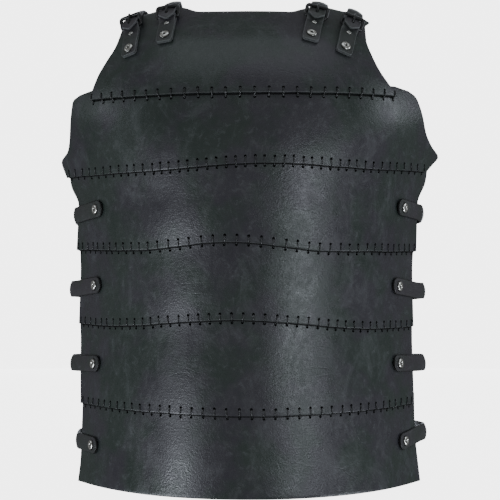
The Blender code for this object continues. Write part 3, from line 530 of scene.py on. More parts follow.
def node_group(name, inputs):
    """A geometry tree with named inputs, and the sockets that bring them."""
    tree = bpy.data.node_groups.new(name, "GeometryNodeTree")
    for label, kind in inputs.items():
        tree.interface.new_socket(label, in_out="INPUT", socket_type=f"NodeSocket{kind}")
    tree.interface.new_socket("Result", in_out="OUTPUT", socket_type="NodeSocketGeometry")
    return tree, add_node(tree, "NodeGroupInput").outputs


def stand_on_marks(tree, marks, form):
    """Stands a form on each mark, in the direction that the mark carries."""
    axis = add_node(tree, "GeometryNodeInputNamedAttribute", {
        "Name": "stands_along",
    }, data_type="FLOAT_VECTOR")
    turn = add_node(tree, "FunctionNodeAlignRotationToVector", {"Vector": axis}, axis="Z")
    return add_node(tree, "GeometryNodeInstanceOnPoints", {
        "Points": marks, "Instance": form, "Rotation": turn,
    })


def end_tree(tree, made, finish):
    """Ends a tree with real meshes in one finish."""
    real = add_node(tree, "GeometryNodeRealizeInstances", {"Geometry": made})
    finished = add_node(tree, "GeometryNodeSetMaterial", {"Geometry": real, "Material": finish})
    add_node(tree, "NodeGroupOutput", {"Result": finished})


def plain_mesh(piece):
    """Applies a piece's modifiers."""
    graph = bpy.context.evaluated_depsgraph_get()
    mesh = bpy.data.meshes.new_from_object(piece.evaluated_get(graph))
    piece.modifiers.clear()
    piece.data = mesh
    mesh.name = piece.name
    return piece


def run_nodes(piece, tree, values):
    """Runs a geometry tree on a piece with its inputs set, and keeps the result as a mesh."""
    modifier = piece.modifiers.new(tree.name, "NODES")
    modifier.node_group = tree
    for socket in tree.interface.items_tree:
        if socket.in_out == "INPUT" and socket.name in values:
            modifier[socket.identifier] = values[socket.name]
    return plain_mesh(piece)


def shade_round(piece, sharp=ROUND_TURN):
    piece.data.shade_smooth()
    piece.data.set_sharp_from_angle(angle=sharp)


def cut_away(piece, cutter, walls):
    """Cuts a piece with another, which is used up. Walls tells whose material they get."""
    cut = piece.modifiers.new("cut", "BOOLEAN")
    cut.operation, cut.solver, cut.material_mode = "DIFFERENCE", "MANIFOLD", walls
    cut.object = cutter
    plain_mesh(piece)
    bpy.data.objects.remove(cutter)


def marks_piece(name, places, axes):
    """Loose points that each carry the direction in which something stands on them."""
    piece = new_piece(name, places, [])
    stored = piece.data.attributes.new("stands_along", "FLOAT_VECTOR", "POINT")
    stored.data.foreach_set("vector", np.asarray(axes, float).ravel())
    return piece


lacing_tree, given = node_group("lacing", {
    "Route": "Geometry", "Cord radius": "Float", "Cord sides": "Int", "Knot radius": "Float",
    "Finish": "Material",
})
route = add_node(lacing_tree, "GeometryNodeMeshToCurve", {"Mesh": given["Route"]})
smooth_route = add_node(lacing_tree, "GeometryNodeCurveSplineType", {
    "Curve": route,
}, spline_type="CATMULL_ROM")
fine_route = add_node(lacing_tree, "GeometryNodeSetSplineResolution", {
    "Geometry": smooth_route, "Resolution": CORD_STEPS,
})
section = add_node(lacing_tree, "GeometryNodeCurvePrimitiveCircle", {
    "Resolution": given["Cord sides"], "Radius": given["Cord radius"],
})
cord = add_node(lacing_tree, "GeometryNodeCurveToMesh", {
    "Curve": fine_route, "Profile Curve": section, "Fill Caps": True,
})
knot = add_node(lacing_tree, "GeometryNodeMeshIcoSphere", {
    "Radius": given["Knot radius"], "Subdivisions": 2,
})
knots = add_node(lacing_tree, "GeometryNodeInstanceOnPoints", {
    "Points": route, "Selection": add_node(lacing_tree, "GeometryNodeCurveEndpointSelection"),
    "Instance": knot,
})
joined = add_node(lacing_tree, "GeometryNodeJoinGeometry", {"Geometry": cord})
set_inputs(lacing_tree, joined, {"Geometry": knots})
rounded = add_node(lacing_tree, "GeometryNodeSetShadeSmooth", {"Geometry": joined})
end_tree(lacing_tree, rounded, given["Finish"])

awls_tree, given = node_group("prick_holes", {
    "Marks": "Geometry", "Wide radius": "Float", "Narrow radius": "Float", "Length": "Float",
    "Sides": "Int", "Finish": "Material",
})
awl = add_node(awls_tree, "GeometryNodeMeshCone", {
    "Vertices": given["Sides"], "Radius Top": given["Wide radius"],
    "Radius Bottom": given["Narrow radius"], "Depth": given["Length"],
})
end_tree(awls_tree, stand_on_marks(awls_tree, given["Marks"], awl), given["Finish"])

# Bonded polyester cord, dyed black and waxed: darker than the hide, and only slightly shiny.
CORD_BLACK, tree, shader = new_material("waxed_cord", {
    "Roughness": 0.35, "Specular IOR Level": 0.5,
})
strands = add_node(tree, "ShaderNodeTexNoise", {
    "Vector": add_node(tree, "ShaderNodeTexCoord").outputs["Object"], "Scale": 1 / STRAND_SIZE,
    "Detail": 2.0,
})
tone = add_node(tree, "ShaderNodeMix", {
    0: strands, 6: srgb("#0b0c0c"), 7: srgb("#1a1c1d"),
}, data_type="RGBA")
bump = add_node(tree, "ShaderNodeBump", {
    "Height": strands, "Strength": 0.5, "Distance": STRAND_DEPTH,
})
set_inputs(tree, shader, {"Base Color": tone, "Normal": bump})


def seam_stitches(plate, seam, count, above, below, by_eye):
    """X and Z of the upper and lower hole of each stitch along a seam."""
    left, right = plate.side_edges(seam, 1.0)
    left, right = left + END_MARGIN, right - END_MARGIN
    even = plate.spread(left, right, plate.ends(seam, 0.0)[1], count)
    x = even * (1 - by_eye) + np.linspace(left, right, count) * by_eye
    turn = np.arange(count) * 1.0

    def drift(shift, way, seed):
        return STITCH_DRIFT[way] * wander(turn, turn * 0 + shift, DRIFT_STITCHES[way], seed)

    upper_x, lower_x = (x + drift(shift, 0, DRIFT_SEED * seam + plate.facing) for shift in (0, 9))
    for moved in (upper_x, lower_x):
        moved[[0, -1]] = x[[0, -1]]
    upper_z = plate.seam(seam, upper_x) + above + drift(4, 1, seam)
    lower_z = plate.seam(seam, lower_x) - below - drift(7, 1, seam) * 0.6
    return upper_x, upper_z, lower_x, lower_z


def seam_lacing(plate, seam, stitches, diameter):
    """The cord of one seam, on its way through every hole."""
    upper_x, upper_z, lower_x, lower_z = stitches
    upper_z, lower_z = upper_z - PULLED, lower_z + PULLED
    radius = diameter / 2
    edge_x = (upper_x + lower_x) / 2
    edge_z = plate.seam(seam, edge_x)
    # Band that the cord lies on, place, and height of the cord's middle above its hollow side
    turns = (
        (1, upper_x, upper_z, -radius * 1.4),
        (1, upper_x, upper_z, LEATHER * 0.5),
        (0, upper_x, upper_z, LEATHER + radius * 0.1),
        (0, upper_x, upper_z - radius * 2.2, LEATHER + radius * 0.6),
        (0, edge_x, edge_z + EDGE_ROUNDING, LEATHER + radius * 0.7),
        (0, edge_x, edge_z - radius, LEATHER * 0.45),
        (1, lower_x, lower_z + radius * 1.2, LEATHER + radius * 0.8),
        (1, lower_x, lower_z, LEATHER - radius * 0.2),
        (1, lower_x, lower_z, LEATHER * 0.4),
        (1, lower_x, lower_z, -radius * 1.4),
    )
    rows = [plate.face(seam + below, x, z, above) for below, x, z, above in turns]
    places = np.stack(rows, axis=1).reshape(-1, 3)
    piece = new_piece(f"{plate.name}_lacing_{seam + 1}", places, [])
    piece.data.edges.add(len(places) - 1)
    for edge in piece.data.edges:
        edge.vertices = (edge.index, edge.index + 1)
    run_nodes(piece, lacing_tree, {
        "Cord radius": radius, "Cord sides": CORD_SIDES, "Knot radius": diameter,
        "Finish": CORD_BLACK,
    })
    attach(piece, "root")


def prick_band(plate, band, marks):
    """Pricks the holes of the seams above and below a band, and finishes the band."""
    piece = bands[plate.name, band]
    xs, zs = np.concatenate(marks, axis=1)
    inward, outward = AWL_PAST
    starts, axes = plate.face(band, xs, zs, -inward), plate.normal(xs, zs)
    awls = marks_piece(f"{piece.name}_holes", starts, axes)
    taper = (HOLE_DIAMETER - HOLE_INSIDE) / LEATHER
    # The holes' walls take the near-black hide: a painted shadow inside every hole.
    run_nodes(awls, awls_tree, {
        "Wide radius": (HOLE_DIAMETER + taper * outward) / 2,
        "Narrow radius": (HOLE_INSIDE - taper * inward) / 2,
        "Length": inward + LEATHER + outward, "Sides": HOLE_SIDES, "Finish": SHADE_PAINTED_HIDE,
    })
    cut_away(piece, awls, "TRANSFER")
    shade_round(piece)
    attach(piece, "root")
    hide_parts(f"{plate.name}_band_{band + 1}")


for plate, table in ((front, FRONT_STITCHES), (back, BACK_STITCHES)):
    marks = [[] for _ in range(plate.last + 1)]
    for seam, (*row, diameter) in enumerate(table):
        stitches = seam_stitches(plate, seam, *row)
        marks[seam].append(stitches[:2])
        marks[seam + 1] += [stitches[:2], stitches[2:]]
        seam_lacing(plate, seam, stitches, diameter)
    for band in range(plate.last + 1):
        prick_band(plate, band, marks[band])

# Side straps. Four a side, cut from 2.6 mm strap leather with round ends, lie on the breastplate,
# bow past the open side and end on the backplate. Flat patterns are cut, their edges rubbed round,
# and then bent along their way, as the real ones are.
STRAP_WIDTH = 0.0185
STRAP_LEATHER = 0.0026
STRAP_ROUNDING = 0.0007
STRAP_TIP = 0.0125      # rivet to a side strap's round end
PAST_EDGE = 0.004       # a side strap runs straight on past a plate's edge
STUD_INSET = 0.034      # backplate's side edge to the stud
EDGE_ROUNDS = 4         # a plate's edge and the band it is on are found in turns
BEND_STEP = 0.0015      # the finished strap bends in steps this long
STRAP_SWELL = 0.0004    # the strap's outer face is crowned
CAP_ON_STRAP = STRAP_LEATHER + STRAP_SWELL * 0.7  # a cap presses the crown down a little
CURL = 0.0018           # a worn strap's free bend cups a little across
CUP_LINES = (-0.6, -0.2, 0.2, 0.6)  # lines it cups at, as shares of its half width
# Side, number, height of the rivet, edge to rivet, fall to the edge, slack past the edges
SIDE_STRAPS = (
    (-1, 1, 0.5845, 0.050, 0.0055, 0.06), (-1, 2, 0.4240, 0.044, 0.0040, 0.48),
    (-1, 3, 0.2570, 0.041, 0.0015, 0.50), (-1, 4, 0.0845, 0.035, -0.0010, 0.14),
    (1, 1, 0.5880, 0.041, 0.0040, 0.14), (1, 2, 0.4220, 0.041, 0.0045, 0.38),
    (1, 3, 0.2590, 0.039, 0.0020, 0.44), (1, 4, 0.0930, 0.034, -0.0035, 0.50),
)

# Softer strap leather, waxed less than the bands, so its gloss is wider and weaker.
STRAP_HIDE = leather_material(
    "black_strap_leather", "#1b1c1c", "#262827", ("#1e2422", "#26232a"), "#3d4144", 0.42, 0.5,
)
# The straps' edges are dyed too and rubbed shiny, and look black beside the face: partly their dye,
# and partly a painted shade, darkened further for the dark line round the round ends.
STRAP_EDGE = leather_material(
    "dyed_strap_edge", "#0b0c0c", "#111213", ("#0e100f", "#100f12"), "#1c1d1f", 0.45, 0.5,
)


def rest(plate, x, z, reach, lengthways):
    """Where a strap of a half width lies on a plate, clear of its bend, and the normal there."""
    place, normal = plate.place(x, z)
    across = unit(np.cross(normal, lengthways)) * reach
    rise = 0.0
    for way in (-1, 1):
        beside = place + across * way - PLATES_MIDDLE
        found = plate.place(beside[0], beside[2])[0]
        rise = max(rise, float(np.dot(found - place, normal)))
    return place + normal * (rise + SEAT), normal


def hollow_under(plate, x, z):
    """The hollow side of the leather at one place, where a rivet's inner cap sits."""
    return plate.face(plate.band_at(x, z), x, z, 0.0)[0]


def run_along(places):
    """Length along a row of places, from the first to each one."""
    steps = np.linalg.norm(np.diff(places, axis=0), axis=1)
    return np.concatenate(([0], np.cumsum(steps)))


def even_steps(table, count):
    """Columns of a table at even steps of its first column, on smooth curves."""
    at = np.linspace(0, table[-1, 0], count)
    return np.stack([along_table(table, k, at) for k in range(1, table.shape[1])], axis=-1)


def route_along(stations, spacing=0.002):
    """A smooth route through stations of (place, normal): places, ways across and lengths."""
    run = run_along(np.array([place for place, _ in stations]))
    table = np.column_stack((run, [np.concatenate(station) for station in stations]))
    steps = even_steps(table, int(run[-1] / spacing) + 1)
    places, normals = steps[:, :3], steps[:, 3:]
    forward = unit(np.gradient(places, axis=0))
    return places, unit(np.cross(unit(normals), forward)), run_along(places)


def worked_piece(name, work, materials=()):
    """A piece from a mesh that was worked step by step."""
    mesh = bpy.data.meshes.new(name)
    work.to_mesh(mesh)
    work.free()
    return add_piece(name, mesh, materials)


def cut_leather(name, outline, thickness, edge_radius, materials, swell=0.0):
    """A flat piece on its pattern, x along and y across, with rubbed edges and lines to bend at."""
    work = bmesh.new()
    face = work.faces.new([work.verts.new((u, v, 0.0)) for u, v in outline])
    top = bmesh.ops.extrude_face_region(work, geom=[face])["geom"]
    raised = [part for part in top if isinstance(part, bmesh.types.BMVert)]
    bmesh.ops.translate(work, vec=(0, 0, thickness), verts=raised)
    bmesh.ops.recalc_face_normals(work, faces=work.faces)
    for side in work.faces:
        side.material_index = int(abs(side.normal.z) < 0.5)
    if edge_radius:
        rims = [edge for edge in work.edges if abs(edge.verts[0].co.z - edge.verts[1].co.z) < 1e-7]
        bmesh.ops.bevel(
            work, geom=rims, offset=edge_radius, segments=3, profile=0.5, affect="EDGES",
            material=1,
        )
    low, high = min(u for u, _ in outline), max(u for u, _ in outline)
    half = max(abs(v) for _, v in outline)
    bends = np.arange(low + BEND_STEP, high - BEND_STEP / 3, BEND_STEP)
    cuts = [((u, 0, 0), (1, 0, 0)) for u in bends]
    cuts += [((0, half * share, 0), (0, 1, 0)) for share in CUP_LINES]
    for place, way in cuts:
        whole = [*work.verts, *work.edges, *work.faces]
        bmesh.ops.bisect_plane(work, geom=whole, plane_co=place, plane_no=way, dist=1e-6)
    for vert in work.verts:
        if vert.co.z > thickness / 2:
            vert.co.z += swell * (1 - (vert.co.y / half) ** 2)
    return worked_piece(name, work, materials)


def bend_along(piece, route, cup=0.0):
    """Bends a flat piece so that its length follows a route."""
    places, sideways, lengths = route
    points = np.array([vert.co for vert in piece.data.vertices])
    at = np.clip(points[:, 0], 0, lengths[-1])
    base, side, forward = (
        np.stack([np.interp(at, lengths, way[:, k]) for k in range(3)], axis=-1)
        for way in (places, sideways, unit(np.gradient(places, axis=0)))
    )
    side = unit(side)
    out = unit(np.cross(unit(forward), side))
    bow = np.sin(math.pi * at / lengths[-1]) * (points[:, 1] / np.abs(points[:, 1]).max()) ** 2
    points = base + side * points[:, 1:2] + out * (points[:, 2] - cup * bow)[:, None]
    piece.data.vertices.foreach_set("co", points.ravel())
    piece.data.update()
    shade_round(piece)


def arc(middle, radius, start, turn, steps):
    """Points of an arc on a pattern, both ends included, angles in degrees."""
    angles = [math.radians(start + turn * k / steps) for k in range(steps + 1)]
    return [(middle[0] + radius * math.cos(a), middle[1] + radius * math.sin(a)) for a in angles]


def round_ended(start, end, half, steps):
    """Outline of a strip with round ends."""
    first = arc((start + half, 0), half, 90, 180, steps)
    return first + arc((end - half, 0), half, -90, 180, steps)


def plate_edge(plate, side, z):
    """X of a plate's side edge at a height."""
    x = side * WIDTH / 2 * plate.edges[plate.last][0][1]
    for _ in range(EDGE_ROUNDS):
        band = plate.band_at(x, z)
        top, bottom = plate.ends(band, x)
        x = float(plate.edge(band, side, np.array([(top - z) / (top - bottom)]))[0])
    return x


def from_edge(plate, side, z, distance):
    """X at a distance along the leather from a plate's side edge."""
    edge = plate_edge(plate, side, z)
    xs = np.linspace(edge, edge - side * (distance + 0.001), 40)
    return float(np.interp(distance, run_along(plate.hollow_side(xs, xs * 0 + z)), xs))


def free_bend(fronts, backs, pulls, steps=6):
    """Stations of a strap's free bend between the plates. Pulls tell how stiffly it leaves them."""
    (before, _), (start, first) = fronts[-2:]
    (end, last), (after, _) = backs[:2]
    leave, arrive = unit(start - before), unit(end - after)
    made = []
    for t in np.arange(1, steps) / steps:
        u = 1 - t
        place = (
            start * u ** 3 + (start + leave * pulls[0]) * 3 * u * u * t
            + (end + arrive * pulls[1]) * 3 * u * t * t + end * t ** 3
        )
        made.append((place, unit(first * u + last * t)))
    return made


def side_strap(side, number, height, rivet_inset, fall, slack):
    """A strap with round ends from breastplate to backplate, and the places of its rivets."""
    slope = fall / rivet_inset

    def on_plate(plate, distance):
        """X, z, place and normal on a plate at a distance from its edge."""
        past = -distance if plate is front else SIDE_GAP + distance
        z = HEIGHT * height - slope * (rivet_inset + past)
        x = from_edge(plate, side, z, distance)
        return x, z, *rest(plate, x, z, STRAP_WIDTH / 2, np.array((1.0, 0, 0)))

    def stations(plate, inset):
        made = [on_plate(plate, d)[2:] for d in np.linspace(inset + STRAP_TIP, 0.0, 9)]
        (before, _), (last, normal) = made[-2:]
        return [*made, (last + unit(last - before) * PAST_EDGE, normal)]

    fronts, backs = stations(front, rivet_inset), stations(back, STUD_INSET)[::-1]
    pull = np.linalg.norm(backs[0][0] - fronts[-1][0]) * slack
    route = route_along([*fronts, *free_bend(fronts, backs, (pull, pull)), *backs])
    word = "right" if side < 0 else "left"
    piece = cut_leather(
        f"{word}_side_belt_{number}", round_ended(0, route[2][-1], STRAP_WIDTH / 2, 12),
        STRAP_LEATHER, STRAP_ROUNDING, (STRAP_HIDE, STRAP_EDGE), STRAP_SWELL,
    )
    bend_along(piece, route, CURL)
    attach(piece, "root")
    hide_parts(f"{word}_side_strap_{number}")
    marks = []
    for plate, inset in ((front, rivet_inset), (back, STUD_INSET)):
        x, z, place, normal = on_plate(plate, inset)
        marks.append((place + normal * CAP_ON_STRAP, normal, hollow_under(plate, x, z)))
    return marks


side_rivets, side_studs = zip(*(side_strap(*row) for row in SIDE_STRAPS))

# Rivets. A two-part double-cap rivet, pressed from steel and plated in antique nickel: a domed cap
# with a sunken ring and a dimple outside, and a flat cap inside, closed on each other.
HEAD_RADIUS = 0.0060
HEAD_HEIGHT = 0.0023
SMALL_HEAD_RADIUS = 0.0032
SMALL_HEAD_HEIGHT = HEAD_HEIGHT * 0.65
BURR_RADIUS = 0.0042
BURR_HEIGHT = 0.0022
TURNED_SIDES = 32
CAP_TURN = math.radians(50)  # faces that meet under this angle are shaded as one
SEATED = 0.0003         # how far a cap is pressed into the leather
TURN_SEED = 4           # each cap is turned at random
TARNISH_SIZE = 0.0016
# Radius and height along the cap, as shares of its radius and height
CAP_PROFILE = (
    (0.00, 0.56), (0.10, 0.57), (0.17, 0.66), (0.24, 0.82), (0.32, 0.94), (0.43, 1.00),
    (0.57, 0.98), (0.70, 0.90), (0.81, 0.76), (0.90, 0.55), (0.97, 0.30), (1.00, 0.10),
    (0.98, -0.12), (0.90, -0.20), (0.36, -0.20), (0.34, -0.90), (0.00, -0.90),
)
BURR_PROFILE = (
    (0.00, 0.42), (0.30, 0.42), (0.60, 0.38), (0.85, 0.28), (0.97, 0.14), (1.00, 0.0),
    (0.95, -0.10), (0.36, -0.10), (0.34, -0.60), (0.00, -0.60),
)
# Colour from the cap's middle to its rim: the dimple is nearly black, darkened in its hollow, and
# the rim is nearly black as a painted shade on the dome's steep edge
PATINA_AND_SHADE = (
    (0.00, "#1d1d1c"), (0.16, "#31312f"), (0.28, "#d6d6cf"), (0.80, "#e0e0da"), (0.91, "#85857f"),
    (0.97, "#2c2c2b"), (1.00, "#232323"),
)


def turned_cap(name, profile, radius, height):
    """A cap turned from a profile, standing on the origin along z."""
    work = bmesh.new()
    line = [work.verts.new((r * radius, 0, h * height)) for r, h in profile]
    edges = [work.edges.new(pair) for pair in zip(line, line[1:])]
    bmesh.ops.spin(
        work, geom=line + edges, cent=(0, 0, 0), axis=(0, 0, 1), angle=2 * math.pi,
        steps=TURNED_SIDES, use_merge=True,
    )
    bmesh.ops.remove_doubles(work, verts=work.verts, dist=1e-6)
    bmesh.ops.recalc_face_normals(work, faces=work.faces)
    cap = worked_piece(name, work)
    stored = cap.data.attributes.new("from_axis", "FLOAT", "POINT")
    spots = [math.hypot(v.co.x, v.co.y) / radius for v in cap.data.vertices]
    stored.data.foreach_set("value", spots)
    shade_round(cap, CAP_TURN)
    return cap


caps_tree, given = node_group("set_caps", {
    "Marks": "Geometry", "Cap": "Object", "Turn seed": "Int", "Finish": "Material",
})
form = add_node(caps_tree, "GeometryNodeObjectInfo", {"Object": given["Cap"]})
standing = stand_on_marks(caps_tree, given["Marks"], form.outputs["Geometry"])
turn = add_node(caps_tree, "FunctionNodeRandomValue", {
    2: 0.0, 3: 2 * math.pi, "Seed": given["Turn seed"],
}, data_type="FLOAT")
turned = add_node(caps_tree, "GeometryNodeRotateInstances", {
    "Instances": standing, "Rotation": add_node(caps_tree, "ShaderNodeCombineXYZ", {"Z": turn}),
})
end_tree(caps_tree, turned, given["Finish"])

# Antique nickel plate: bright on the dome, where it is rubbed, and spotted with tarnish; near black
# round the rim, a painted shade.
NICKEL, tree, shader = new_material("antique_nickel", {"Metallic": 1.0})
from_axis = add_node(tree, "ShaderNodeAttribute", attribute_name="from_axis").outputs["Fac"]
patina_and_shade = add_node(tree, "ShaderNodeValToRGB", {"Fac": from_axis})
ramp = patina_and_shade.color_ramp.elements
for position, colour in PATINA_AND_SHADE[1:-1]:
    ramp.new(position)
for stop, (position, colour) in zip(ramp, PATINA_AND_SHADE):
    stop.position, stop.color = position, srgb(colour)
tarnish = add_node(tree, "ShaderNodeTexNoise", {
    "Vector": add_node(tree, "ShaderNodeTexCoord").outputs["Object"], "Scale": 1 / TARNISH_SIZE,
    "Detail": 4.0, "Roughness": 0.65,
})
spots = add_node(tree, "ShaderNodeMapRange", {
    "Value": tarnish, "From Min": 0.48, "From Max": 0.75, "To Max": 0.4,
})
tone = add_node(tree, "ShaderNodeMix", {0: spots, 6: patina_and_shade, 7: srgb("#4b4a47")}, data_type="RGBA")
dull = add_node(tree, "ShaderNodeMapRange", {
    "Value": tarnish, "From Min": 0.3, "From Max": 0.7, "To Min": 0.20, "To Max": 0.36,
})
set_inputs(tree, shader, {"Base Color": tone, "Roughness": dull})

domed_cap = turned_cap("domed_cap", CAP_PROFILE, HEAD_RADIUS, HEAD_HEIGHT)
small_cap = turned_cap("small_cap", CAP_PROFILE, SMALL_HEAD_RADIUS, SMALL_HEAD_HEIGHT)
flat_cap = turned_cap("flat_cap", BURR_PROFILE, BURR_RADIUS, BURR_HEIGHT)


def set_rivets(name, marks, cap, nodes):
    """One piece for a row of rivets: marks are (place under the cap, normal, place inside)."""
    halves = []
    for form, places, way in (
        (cap, [place - normal * SEATED for place, normal, _ in marks], 1),
        (flat_cap, [inner for _, _, inner in marks], -1),
    ):
        half = marks_piece(name, places, [normal * way for _, normal, _ in marks])
        halves.append(run_nodes(half, caps_tree, {
            "Cap": form, "Turn seed": TURN_SEED, "Finish": NICKEL,
        }))
    whole = halves[0]
    with bpy.context.temp_override(active_object=whole, selected_editable_objects=halves):
        bpy.ops.object.join()
    whole.name = name
    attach(whole, "root")
    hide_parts(*nodes)


words = ["right" if row[0] < 0 else "left" for row in SIDE_STRAPS]
numbers = [row[1] for row in SIDE_STRAPS]
for kind, marks in (("rivet", side_rivets), ("stud", side_studs)):
    nodes = [f"{word}_side_{kind}_{number}" for word, number in zip(words, numbers)]
    set_rivets(f"side_{kind}s", marks, domed_cap, nodes)

# Shoulder tabs and buckles. Each tab is a strip of 2 mm leather folded double round a buckle's
# fixed bar and riveted to the top band. The buckles are bent from 3.5 mm steel wire, welded shut
# and painted black, each with a loose prong.
TAB_LENGTH = 0.0410     # foot of a tab to the fixed bar
TAB_FOOT = 0.0090       # foot to the lower rivet
TAB_RIVET_PITCH = 0.0205
TAB_PLY = 0.00195       # one of the tab's two thicknesses
TAB_LEATHER = 0.0040    # both of them
TAB_ROUNDING = 0.0006
TAB_CORNER = 0.0035     # rounded corners at the foot
TAB_LIE = 0.96          # share of its length that gives the direction it lies in
CORNER_STEPS = 5
DOWN_STEPS = 12         # steps in which a way down the plate is followed
FOLD_RADIUS = 0.0038    # outer face of the fold to the bar's middle
FOLD_HEIGHT = 0.0074    # top of the fold above the plate
FOLD_CLOSE = 0.0085     # how far from the bar the two thicknesses meet
FOLD_TURNS = np.radians(np.arange(-80, 100, 20))
BUCKLE_WIRE = 0.0017    # radius
FAR_WIRE = 0.0021       # radius of the far bar, the thickest part
BUCKLE_CORNER = 0.0026
BUCKLE_PLAY = 0.0008    # strap's edge to the frame, each side
BUCKLE_LENGTH = 0.0135  # fixed bar to far bar
BUCKLE_RISE = math.radians(26)  # the far bar stands up over the strap
FAR_RUN = BUCKLE_LENGTH * math.cos(BUCKLE_RISE)
WIRE_STEP = 0.0018      # the frame bends in steps this long
WIRE_SIDES, PRONG_SIDES, EYE_SIDES = 14, 12, 10
PRONG_RADIUS = 0.0011
PRONG_CROWN = FOLD_RADIUS + SEAT + STRAP_LEATHER + PRONG_RADIUS + SEAT
# The prong's bends along and out, from the fixed bar and from the far bar
PRONG_RISE = (
    (0.0, BUCKLE_WIRE * 0.5), (FAR_RUN * 0.16, PRONG_CROWN * 0.6), (FAR_RUN * 0.42, PRONG_CROWN),
    (FAR_RUN * 0.75, PRONG_CROWN + 0.0003),
)
PRONG_FALL = (
    (0.0, FAR_WIRE + PRONG_RADIUS * 0.6), (FAR_WIRE + PRONG_RADIUS * 0.8, FAR_WIRE * 0.7),
)
PRONG_STEP = 0.0006
PRONG_ENDS = (1.08, 0.90)  # its thickness at the eye and at the tip, as shares
PRONG_TIP = (0.93, 1.03)  # it is rounded off from here towards here, as shares of its length
EYE_TURNS = np.radians(np.linspace(80, -220, 19))  # the prong's eye, open towards its stem
EYE_RADIUS = PRONG_RADIUS * 0.8
EYE_REACH = BUCKLE_WIRE + PRONG_RADIUS * 0.75
SLOT_HALF = 0.0016      # half width of the slots that the prong goes through
SLOT_PAST_FOLD = 0.001
WEAR_SIZE = 0.0022      # spots where the paint is thin
# Name, fixed bar across and up, lean, and where the strap lies on the backplate
SHOULDERS = (
    ("right_outer", -0.592, 0.9555, 1.0, -0.560), ("right_inner", -0.408, 0.9715, 3.5, -0.400),
    ("left_inner", 0.340, 0.9710, 10.0, 0.400), ("left_outer", 0.516, 0.9525, 14.0, 0.590),
)

# The cut edges of the tabs and the shoulder straps are a lighter grey: a painted highlight for the
# thin line of light that their rounded edges catch.
HIGHLIT_TAB_EDGE = leather_material(
    "bare_tab_edge", "#2a2d2e", "#3c4041", ("#343938", "#3a393e"), "#54585a", 0.55, 0.4,
)
# Black paint on steel: nearly black and glossy, worn to bare metal on the outer bends.
BLACK_STEEL, tree, shader = new_material("black_enamelled_steel", {
    "Specular IOR Level": 0.5, "Coat Weight": 0.35, "Coat Roughness": 0.18,
})
thin = add_node(tree, "ShaderNodeTexNoise", {
    "Vector": add_node(tree, "ShaderNodeTexCoord").outputs["Object"], "Scale": 1 / WEAR_SIZE,
    "Detail": 4.0, "Roughness": 0.7,
})
sticking_out = add_node(tree, "ShaderNodeNewGeometry").outputs["Pointiness"]
rubbed = add_node(tree, "ShaderNodeMath", {
    0: thin, 1: 0.5, 2: sticking_out,
}, operation="MULTIPLY_ADD")
bare = add_node(tree, "ShaderNodeMapRange", {
    "Value": rubbed, "From Min": 0.84, "From Max": 0.94, "To Max": 0.7,
})
tone = add_node(tree, "ShaderNodeMix", {
    0: bare, 6: srgb("#101112"), 7: srgb("#77787a"),
}, data_type="RGBA")
dull = add_node(tree, "ShaderNodeMapRange", {
    "Value": thin, "From Min": 0.3, "From Max": 0.7, "To Min": 0.26, "To Max": 0.42,
})
set_inputs(tree, shader, {"Base Color": tone, "Metallic": bare, "Roughness": dull})


def add_wire(work, places, radii, sides, guide, closed=False):
    """Adds round wire through places to a mesh, with its ends closed or joined."""
    places = np.asarray(places, float)
    forward = np.gradient(places, axis=0)
    if closed:
        forward = np.roll(places, -1, axis=0) - np.roll(places, 1, axis=0)
    forward = unit(forward)
    side = unit(np.cross(np.broadcast_to(guide, forward.shape), forward))
    angles = np.linspace(0, 2 * math.pi, sides, endpoint=False)
    rings = []
    for place, a, b, radius in zip(places, side, np.cross(forward, side), radii):
        ring = place + (np.outer(np.cos(angles), a) + np.outer(np.sin(angles), b)) * radius
        rings.append([work.verts.new(point) for point in ring])
    for first, second in zip(rings, rings[1:] + rings[:closed]):
        for j in range(sides):
            k = (j + 1) % sides
            work.faces.new((first[j], first[k], second[k], second[j]))
    if not closed:
        work.faces.new(rings[0][::-1])
        work.faces.new(rings[-1])


def cut_slot(piece, start, end):
    """Cuts a slot with round ends through a flat piece, along its middle."""
    depth = TAB_LEATHER * 3
    outline = round_ended(start, end, SLOT_HALF, 8)
    cutter = cut_leather("slot_cutter", outline, depth, 0.0, (STRAP_EDGE, STRAP_EDGE))
    for vert in cutter.data.vertices:
        vert.co.z -= depth / 3
    cut_away(piece, cutter, "INDEX")


def square_end(length, corner):
    """Outline of a strip's end with rounded corners."""
    x, y = length - corner, STRAP_WIDTH / 2 - corner
    below = arc((x, -y), corner, -90, 90, CORNER_STEPS)
    return below + arc((x, y), corner, 0, 90, CORNER_STEPS)


def down_front(row, distance):
    """X, z, place and normal on the breastplate at a distance down a tab from its fixed bar."""
    _, bar_x, bar_z, lean, _ = row
    x, z, lean = bar_x * WIDTH / 2, bar_z * HEIGHT, math.radians(lean)
    for _ in range(DOWN_STEPS):
        normal = front.normal(np.array([x]), np.array([z]))[0]
        x -= math.sin(lean) * distance / DOWN_STEPS
        z -= math.cos(lean) * distance / DOWN_STEPS * math.hypot(normal[0], normal[1])
    return x, z, *rest(front, x, z, STRAP_WIDTH / 2, np.array((0, 0, 1.0)))


def buckle_places(row):
    """Middles of the fixed and the far bar, and the tab's ways along, across and out."""
    foot, (head, normal) = down_front(row, TAB_LENGTH * TAB_LIE)[2], down_front(row, 0.0)[2:]
    along = unit(head - foot)
    across = unit(np.cross(along, normal))
    out = unit(np.cross(across, along))
    bar = head + out * FOLD_RADIUS
    far = bar + along * FAR_RUN + out * BUCKLE_LENGTH * math.sin(BUCKLE_RISE)
    return bar, far, along, across, out


